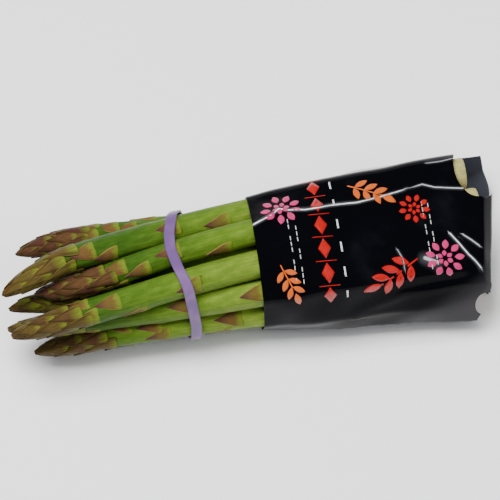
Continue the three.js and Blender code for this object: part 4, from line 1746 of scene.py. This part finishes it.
    def trimmed(
        self, points: np.ndarray, laid: np.ndarray, faces: Sequence[tuple[int, ...]]
    ) -> tuple[np.ndarray, np.ndarray, list[tuple[int, ...]]]:
        """Trims a net of faces along the edges of the bites.

        Args:
            points: The corners of the net, one row each.
            laid: The place of each corner on the flat film.
            faces: The faces of the net.

        Returns:
            The corners and their places, with those on the trimmed edge added, and the faces left.
        """
        outside = np.min([bite.outside(points) for bite in self.bites], axis=0)
        added: dict[tuple[int, int], int] = {}
        new_points, new_laid = list(points), list(laid)

        def on_edge(a: int, b: int) -> int:
            """The corner where the edge of a bite crosses the line between two corners.

            Args:
                a: One of the corners.
                b: The other one.

            Returns:
                The new corner's number.
            """
            key = (min(a, b), max(a, b))
            if key not in added:
                share = outside[a] / (outside[a] - outside[b])
                added[key] = len(new_points)
                new_points.append(points[a] + share * (points[b] - points[a]))
                new_laid.append(laid[a] + share * (laid[b] - laid[a]))
            return added[key]

        kept = []
        for face in faces:
            corners: list[int] = []
            for a, b in zip(face, (*face[1:], face[0])):
                if outside[a] >= 0:
                    corners.append(a)
                if (outside[a] >= 0) != (outside[b] >= 0):
                    corners.append(on_edge(a, b))
            if len(corners) > 2:
                kept.append(tuple(corners))
        return np.array(new_points), np.array(new_laid), kept

    def sheet(self) -> tuple[bpy.types.Object, bpy.types.Object]:
        """Makes the film as one face: the whole one, and one laid open along its underside.

        Returns:
            The film, and the opened film whose corners know their place on the flat film.
        """
        points = self.ruffled(self.surface())
        rows, columns = points.shape[:2]
        lengths = np.linalg.norm(np.diff(points, axis=1), axis=2)
        arc = np.concatenate([np.zeros((rows, 1)), np.cumsum(lengths, axis=1)], axis=1)
        arc -= arc[:, columns // 2: columns // 2 + 1]
        laid = np.stack([points[:, :, 0], arc, np.zeros_like(arc)], axis=2).reshape(-1, 3)
        points = points.reshape(-1, 3)
        faces = [face[::-1] for face in ring_faces(rows, columns)]
        opened = [face for face in faces if max(face) % columns - min(face) % columns == 1]
        sheets = []
        for name, net in (("film_whole", faces), ("film_opened", opened)):
            trimmed, places, kept = self.trimmed(points, laid, net)
            mesh = make_mesh(name, (trimmed + self.shift) * MM, kept)
            strength, off = self.glints(trimmed)
            put_attributes(mesh, laid=places * MM, glint=strength, glint_off=off)
            sheets.append(add_object(name, mesh))
        return sheets[0], sheets[1]

    def build(self) -> tuple[bpy.types.Object, bpy.types.Object]:
        """Makes the sleeve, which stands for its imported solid.

        Returns:
            The sleeve, and the opened film that its print is laid on.
        """
        whole, opened = self.sheet()
        whole.data.materials.append(self.finish)
        whole.data.materials.append(self.inner_finish)
        wall = whole.modifiers.new("wall", "SOLIDIFY")
        wall.thickness = self.thickness * MM
        wall.offset = -1.0
        wall.material_offset = 1
        wall.material_offset_rim = 0
        sleeve = made_plain(whole, "film_sleeve_stretched")
        smooth_faces(sleeve.data)
        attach(sleeve, "root")
        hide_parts("film_sleeve")
        return sleeve, opened


# ---- The print on the film ----


class Ink(Enum):
    """The inks of the print."""

    RED = srgb(164, 18, 15)
    PINK = srgb(180, 46, 98)
    ORANGE = srgb(192, 88, 26)
    WHITE = srgb(196, 196, 194)


class Motif(Enum):
    """The shapes that the print is made of."""

    SPRIG = 1
    ROSETTE = 2
    LOZENGE = 3
    BAR = 4


@dataclass(frozen=True)
class Mark:
    """One motif: its place on the flat film [x, arc from the top], its size, its turn and its ink."""

    motif: Motif
    x: float
    arc: float
    size: float
    turn: float
    ink: Ink


def petal(length: float, width: float, start: float, turn: float) -> np.ndarray:
    """The outline of a pointed petal that grows away from a middle.

    Args:
        length: How long it is.
        width: How wide it is.
        start: How far from the middle it starts.
        turn: Which way it grows, in radians.

    Returns:
        The corners of the outline, in order.
    """
    share = np.linspace(0, 1, PETAL_CORNERS)
    side = 0.5 * width * np.sin(share * np.pi) ** 0.8
    outline = np.concatenate([
        np.stack([start + share * length, -side], axis=1),
        np.stack([start + share[-2:0:-1] * length, side[-2:0:-1]], axis=1),
    ])
    cosine, sine = math.cos(turn), math.sin(turn)
    return outline @ np.array([[cosine, sine], [-sine, cosine]])


@dataclass
class SleevePrint:
    """The generic print of the sleeve: sprigs, rosettes, and bands of lozenges and bars."""

    finish: bpy.types.Material
    proud: float = 0.07
    sunk: float = 0.12
    column_x: float = 40.0
    column_arcs: Place = (-26.0, 40.0)
    column_step: float = 12.5
    lozenge_size: float = 10.5
    bars_past_column: float = 8.5
    bar_size: float = 5.0
    rows_x: tuple[float, ...] = (24.0, 27.5, 92.0, 95.0)
    row_arc: float = -8.0
    row_step: float = 3.1
    row_bars: int = 12
    row_bar_size: float = 2.2
    subdivisions: int = 2
    map_scale: float = 10.0

    def motif_outlines(self, motif: Motif) -> list[np.ndarray]:
        """The closed outlines of a motif about 1 mm across.

        Args:
            motif: The motif.

        Returns:
            The corners of each outline, in order.
        """
        if motif is Motif.SPRIG:
            leaves = [petal(0.34, 0.15, 0.0, math.radians(8)) + (0.22, 0.0)]
            for k in range(3):
                for side in (-1, 1):
                    leaf = petal(0.3, 0.13, 0.02, side * math.radians(52 - 6 * k))
                    leaves.append(leaf + (-0.36 + 0.2 * k, 0.0))
            stalk = np.array([(-0.5, -0.014), (0.24, -0.014), (0.24, 0.014), (-0.5, 0.014)])
            return [*leaves, stalk]
        if motif is Motif.ROSETTE:
            inner = [petal(0.16, 0.12, 0.06, math.radians(60 * k + 30)) for k in range(6)]
            return [petal(0.26, 0.17, 0.24, math.radians(40 * k)) for k in range(9)] + inner
        if motif is Motif.LOZENGE:
            ring = np.array([(0.5, 0), (0, 0.5), (-0.5, 0), (0, -0.5)]) * (0.62, 1.0)
            return [ring, np.array([(-0.5, -0.56), (0.5, -0.56), (0.5, -0.6), (-0.5, -0.6)])]
        return [np.array([(-0.09, -0.5), (0.09, -0.5), (0.09, 0.5), (-0.09, 0.5)])]

    def template(self, motif: Motif) -> bpy.types.Object:
        """Makes a motif as closed slabs 1 mm across, from 0 at their undersides to 1 at their tops.

        Args:
            motif: The motif.

        Returns:
            The slabs.
        """
        points, faces = [], []
        for outline in self.motif_outlines(motif):
            x, y = outline.T
            area = np.sum(x * np.roll(y, -1) - y * np.roll(x, -1))
            ring = outline if area > 0 else outline[::-1]
            count, base = len(ring), len(points)
            points += [(x * MM, y * MM, 1.0) for x, y in ring] + [(x * MM, y * MM, 0.0) for x, y in ring]
            faces.append(tuple(base + k for k in range(count)))
            faces.append(tuple(base + count + k for k in reversed(range(count))))
            for k in range(count):
                after = (k + 1) % count
                faces.append((base + k, base + count + k, base + count + after, base + after))
        mesh = make_mesh(f"{motif.name.lower()}_motif", np.array(points), faces)
        return add_object(mesh.name, mesh)

    def marks(self) -> list[Mark]:
        """Sets out the print.

        Returns:
            The motifs.
        """
        marks = [
            Mark(Motif.ROSETTE, 22, -14, 21, 0.3, Ink.PINK),
            Mark(Motif.SPRIG, 72, 29, 31, 2.6, Ink.RED),
            Mark(Motif.SPRIG, 68, -18, 25, 0.5, Ink.ORANGE),
            Mark(Motif.ROSETTE, 99, 22, 20, 0.0, Ink.PINK),
            Mark(Motif.SPRIG, 21, 28, 22, 1.2, Ink.ORANGE),
            Mark(Motif.ROSETTE, 88, -6, 16, 0.2, Ink.RED),
        ]
        arcs = np.arange(*self.column_arcs, self.column_step)
        bars_x = self.column_x + self.bars_past_column
        marks += [Mark(Motif.LOZENGE, self.column_x, arc, self.lozenge_size, 0.0, Ink.RED) for arc in arcs]
        marks += [Mark(Motif.BAR, bars_x, arc, self.bar_size, 0.0, Ink.WHITE) for arc in arcs]
        for row, x in enumerate(self.rows_x):
            for k in range(self.row_bars):
                if (5 * k + 3 * row) % 7 > 1:
                    arc = self.row_arc + self.row_step * k + row % 2
                    marks.append(Mark(Motif.BAR, x, arc, self.row_bar_size, 0.0, Ink.WHITE))
        return marks

    def make_tree(self) -> GrowthTree:
        """Makes the tree that lays the motifs out on the flat film and then bends them onto it.

        Returns:
            The tree.
        """
        tree = GrowthTree("print_on_film", {
            "Film": "NodeSocketObject",
            **{motif.name.title(): "NodeSocketObject" for motif in Motif},
            "Proud": "NodeSocketFloat",
            "Sunk": "NodeSocketFloat",
            "Ink": "NodeSocketMaterial",
        })
        wires = tree.wiring
        size = tree.named("size", "FLOAT")
        set_out = tree.planted("motif", {motif.name.title(): motif.value for motif in Motif}, {
            "Rotation": wires.combine(0.0, 0.0, tree.named("turn", "FLOAT")),
            "Scale": wires.combine(size, size, 1.0),
        })
        level = self.subdivisions
        fine = wires.add("GeometryNodeSubdivideMesh", {"Mesh": set_out, "Level": level}).outputs[0]
        place = wires.add("GeometryNodeInputPosition").outputs[0]
        x, arc, side = wires.separate(place)
        film_map = wires.scaled(tree.named("laid", "FLOAT_VECTOR"), self.map_scale)
        own_map = wires.scaled(wires.combine(x, arc, 0.0), self.map_scale)
        maps = {"Mesh": tree.shape_of("Film"), "Source UV Map": film_map, "Sample UV": own_map}
        on_film, out = (
            wires.add(
                "GeometryNodeSampleUVSurface", {**maps, "Value": value}, data_type="FLOAT_VECTOR"
            ).outputs[0]
            for value in (place, wires.add("GeometryNodeInputNormal").outputs[0])
        )
        depth = wires.math("ADD", tree.given["Proud"], tree.given["Sunk"])
        height = wires.math("SUBTRACT", wires.times(side, depth), tree.given["Sunk"])
        lifted = wires.vector("ADD", on_film, wires.scaled(wires.vector("NORMALIZE", out), height))
        laid_on = tree.moved(fine, "Position", lifted)
        # The film's arc runs clockwise from the mouth, so that bending turns the motifs inside out.
        outward = wires.add("GeometryNodeFlipFaces", {"Mesh": laid_on}).outputs[0]
        tree.finish(outward, tree.given["Ink"])
        return tree

    def build(self, opened_film: bpy.types.Object) -> bpy.types.Object:
        """Prints the film.

        Args:
            opened_film: The film laid open, with each corner's place on the flat film.

        Returns:
            The print, as one thin piece on the film.
        """
        marks = self.marks()
        places = np.array([(mark.x * MM, mark.arc * MM, 0.0) for mark in marks])
        seeds = make_mesh("print_places", places, [])
        put_attributes(
            seeds,
            motif=[mark.motif.value for mark in marks],
            size=[mark.size for mark in marks],
            turn=[mark.turn for mark in marks],
            ink=[mark.ink.value for mark in marks],
        )
        templates = {motif.name.title(): self.template(motif) for motif in Motif}
        drawn = self.make_tree().grow("sleeve_print", seeds, {
            "Film": opened_film,
            **templates,
            "Proud": self.proud * MM,
            "Sunk": self.sunk * MM,
            "Ink": self.finish,
        })
        for template in templates.values():
            remove_object(template)
        remove_object(opened_film)
        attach(drawn, "root")
        return drawn


# ---- The studio ----


@dataclass(frozen=True)
class Lamp:
    """A soft lamp that faces the bundle.

    It has its place [x, y] over the floor, its height and its two sides in metres, its power in watts,
    and whether glossy surfaces show it.
    """

    name: str
    place: Place
    height: float
    sides: Place
    power: float
    seen: bool = False

    def build(self) -> None:
        """Hangs the lamp."""
        light = bpy.data.lights.new(self.name, "AREA")
        light.shape = "RECTANGLE"
        light.size, light.size_y = self.sides
        light.energy = self.power
        lamp = add_object(self.name, light)
        lamp.location = (*self.place, self.height)
        lamp.rotation_mode = "QUATERNION"
        lamp.rotation_quaternion = (-lamp.location).to_track_quat("-Z", "Y")
        lamp.visible_glossy = self.seen


@dataclass
class Studio:
    """A plain pale floor, soft light, and a camera that looks down on the bundle from its near side."""

    azimuth: float = -8.81
    elevation: float = 62.02
    picture_width: float = 252.1
    aim_across: float = -0.87
    aim_up: float = 18.09
    lens: float = 400.0
    sensor: float = 36.0
    clip: Place = (0.05, 30.0)
    lamps: tuple[Lamp, ...] = (
        Lamp("key_lamp", (-0.35, 0.05), 1.6, (0.9, 0.9), 58.0),
        Lamp("fill_lamp", (0.5, -0.7), 1.5, (1.2, 1.2), 15.0),
        Lamp("edge_lamp", (0.1, 1.5), 0.3, (1.6, 0.16), 2.0, seen=True),
    )
    sky: tuple[tuple[float, Colour], ...] = (
        (0.0, (0.2, 0.21, 0.23)), (0.3, (0.2, 0.22, 0.26)),
        (0.55, (0.12, 0.13, 0.16)), (1.0, (0.08, 0.09, 0.11)),
    )
    sky_strength: float = 0.7
    floor_half: float = 3.0
    floor_drop: float = 0.0003
    floor_dark: Colour = (0.92, 0.92, 0.92)
    floor_light: Colour = (0.94, 0.94, 0.94)

    def directions(self) -> tuple[Vector, Vector, Vector]:
        """Finds how the camera is turned.

        Returns:
            Its right, its up and the way back to it.
        """
        a, e = math.radians(self.azimuth), math.radians(self.elevation)
        right = Vector((math.cos(a), math.sin(a), 0))
        back = Vector((math.sin(a) * math.cos(e), -math.cos(a) * math.cos(e), math.sin(e)))
        return right, back.cross(right), back

    def camera(self) -> None:
        """Places the camera."""
        right, up, back = self.directions()
        lens = bpy.data.cameras.new("studio_camera")
        lens.lens = self.lens
        lens.sensor_width = self.sensor
        camera = add_object("studio_camera", lens)
        away = self.picture_width * MM * self.lens / self.sensor
        aim = right * (self.aim_across * MM) + up * (self.aim_up * MM)
        camera.location = aim + back * away
        camera.rotation_mode = "QUATERNION"
        camera.rotation_quaternion = (-back).to_track_quat("-Z", "Y")
        lens.clip_start, lens.clip_end = self.clip
        bpy.context.scene.camera = camera

    def surroundings(self) -> None:
        """Makes the soft light that comes from all round."""
        world = bpy.data.worlds.new("studio")
        world.use_nodes = True
        bpy.context.scene.world = world
        wires = Wiring(world.node_tree)
        shade = next(node for node in world.node_tree.nodes if node.type == "BACKGROUND")
        way = wires.add("ShaderNodeTexCoord").outputs["Generated"]
        _, _, height = wires.separate(way)
        wires.feed(shade.inputs["Color"], wires.ramp(height, self.sky))
        shade.inputs["Strength"].default_value = self.sky_strength

    def floor(self) -> None:
        """Makes the plain pale floor."""
        square = np.array([(-1, -1, 0), (1, -1, 0), (1, 1, 0), (-1, 1, 0)])
        mesh = make_mesh("studio_floor", square * self.floor_half - (0, 0, self.floor_drop), [(0, 1, 2, 3)])
        material, wires, shader = new_material("pale_floor")
        cloud = wires.noise(wires.object_place(), 2.0)
        wires.feed(shader.inputs["Base Color"], wires.blend(cloud, self.floor_dark, self.floor_light))
        shader.inputs["Roughness"].default_value = 0.9
        mesh.materials.append(material)
        add_object("studio_floor", mesh)

    def build(self) -> None:
        """Sets up the whole studio."""
        self.camera()
        self.surroundings()
        self.floor()
        for lamp in self.lamps:
            lamp.build()


def main() -> None:
    """Builds the studio and every piece of the bundle in order."""
    logging.basicConfig(level=logging.INFO, format="%(name)s: %(message)s")
    Studio().build()
    lie = Lie()
    shift = lie.frame_shift()
    LOG.info("the packed part stands %s mm from the bundle's own frame", np.round(shift, 2))
    pieces = SpearMaker(lie, shift, SpearFinish().build()).build_all()
    pieces.append(RubberBand(lie, shift, RubberFinish().build()).build())
    film = FilmFinish()
    sleeve, opened = FilmSleeve(lie, shift, film.build(), film.build_inner()).build()
    pieces += [sleeve, SleevePrint(InkFinish().build()).build(opened)]
    for piece in pieces:
        LOG.info("%s: %d faces", piece.name, len(piece.data.polygons))


if __name__ == "__main__":
    main()
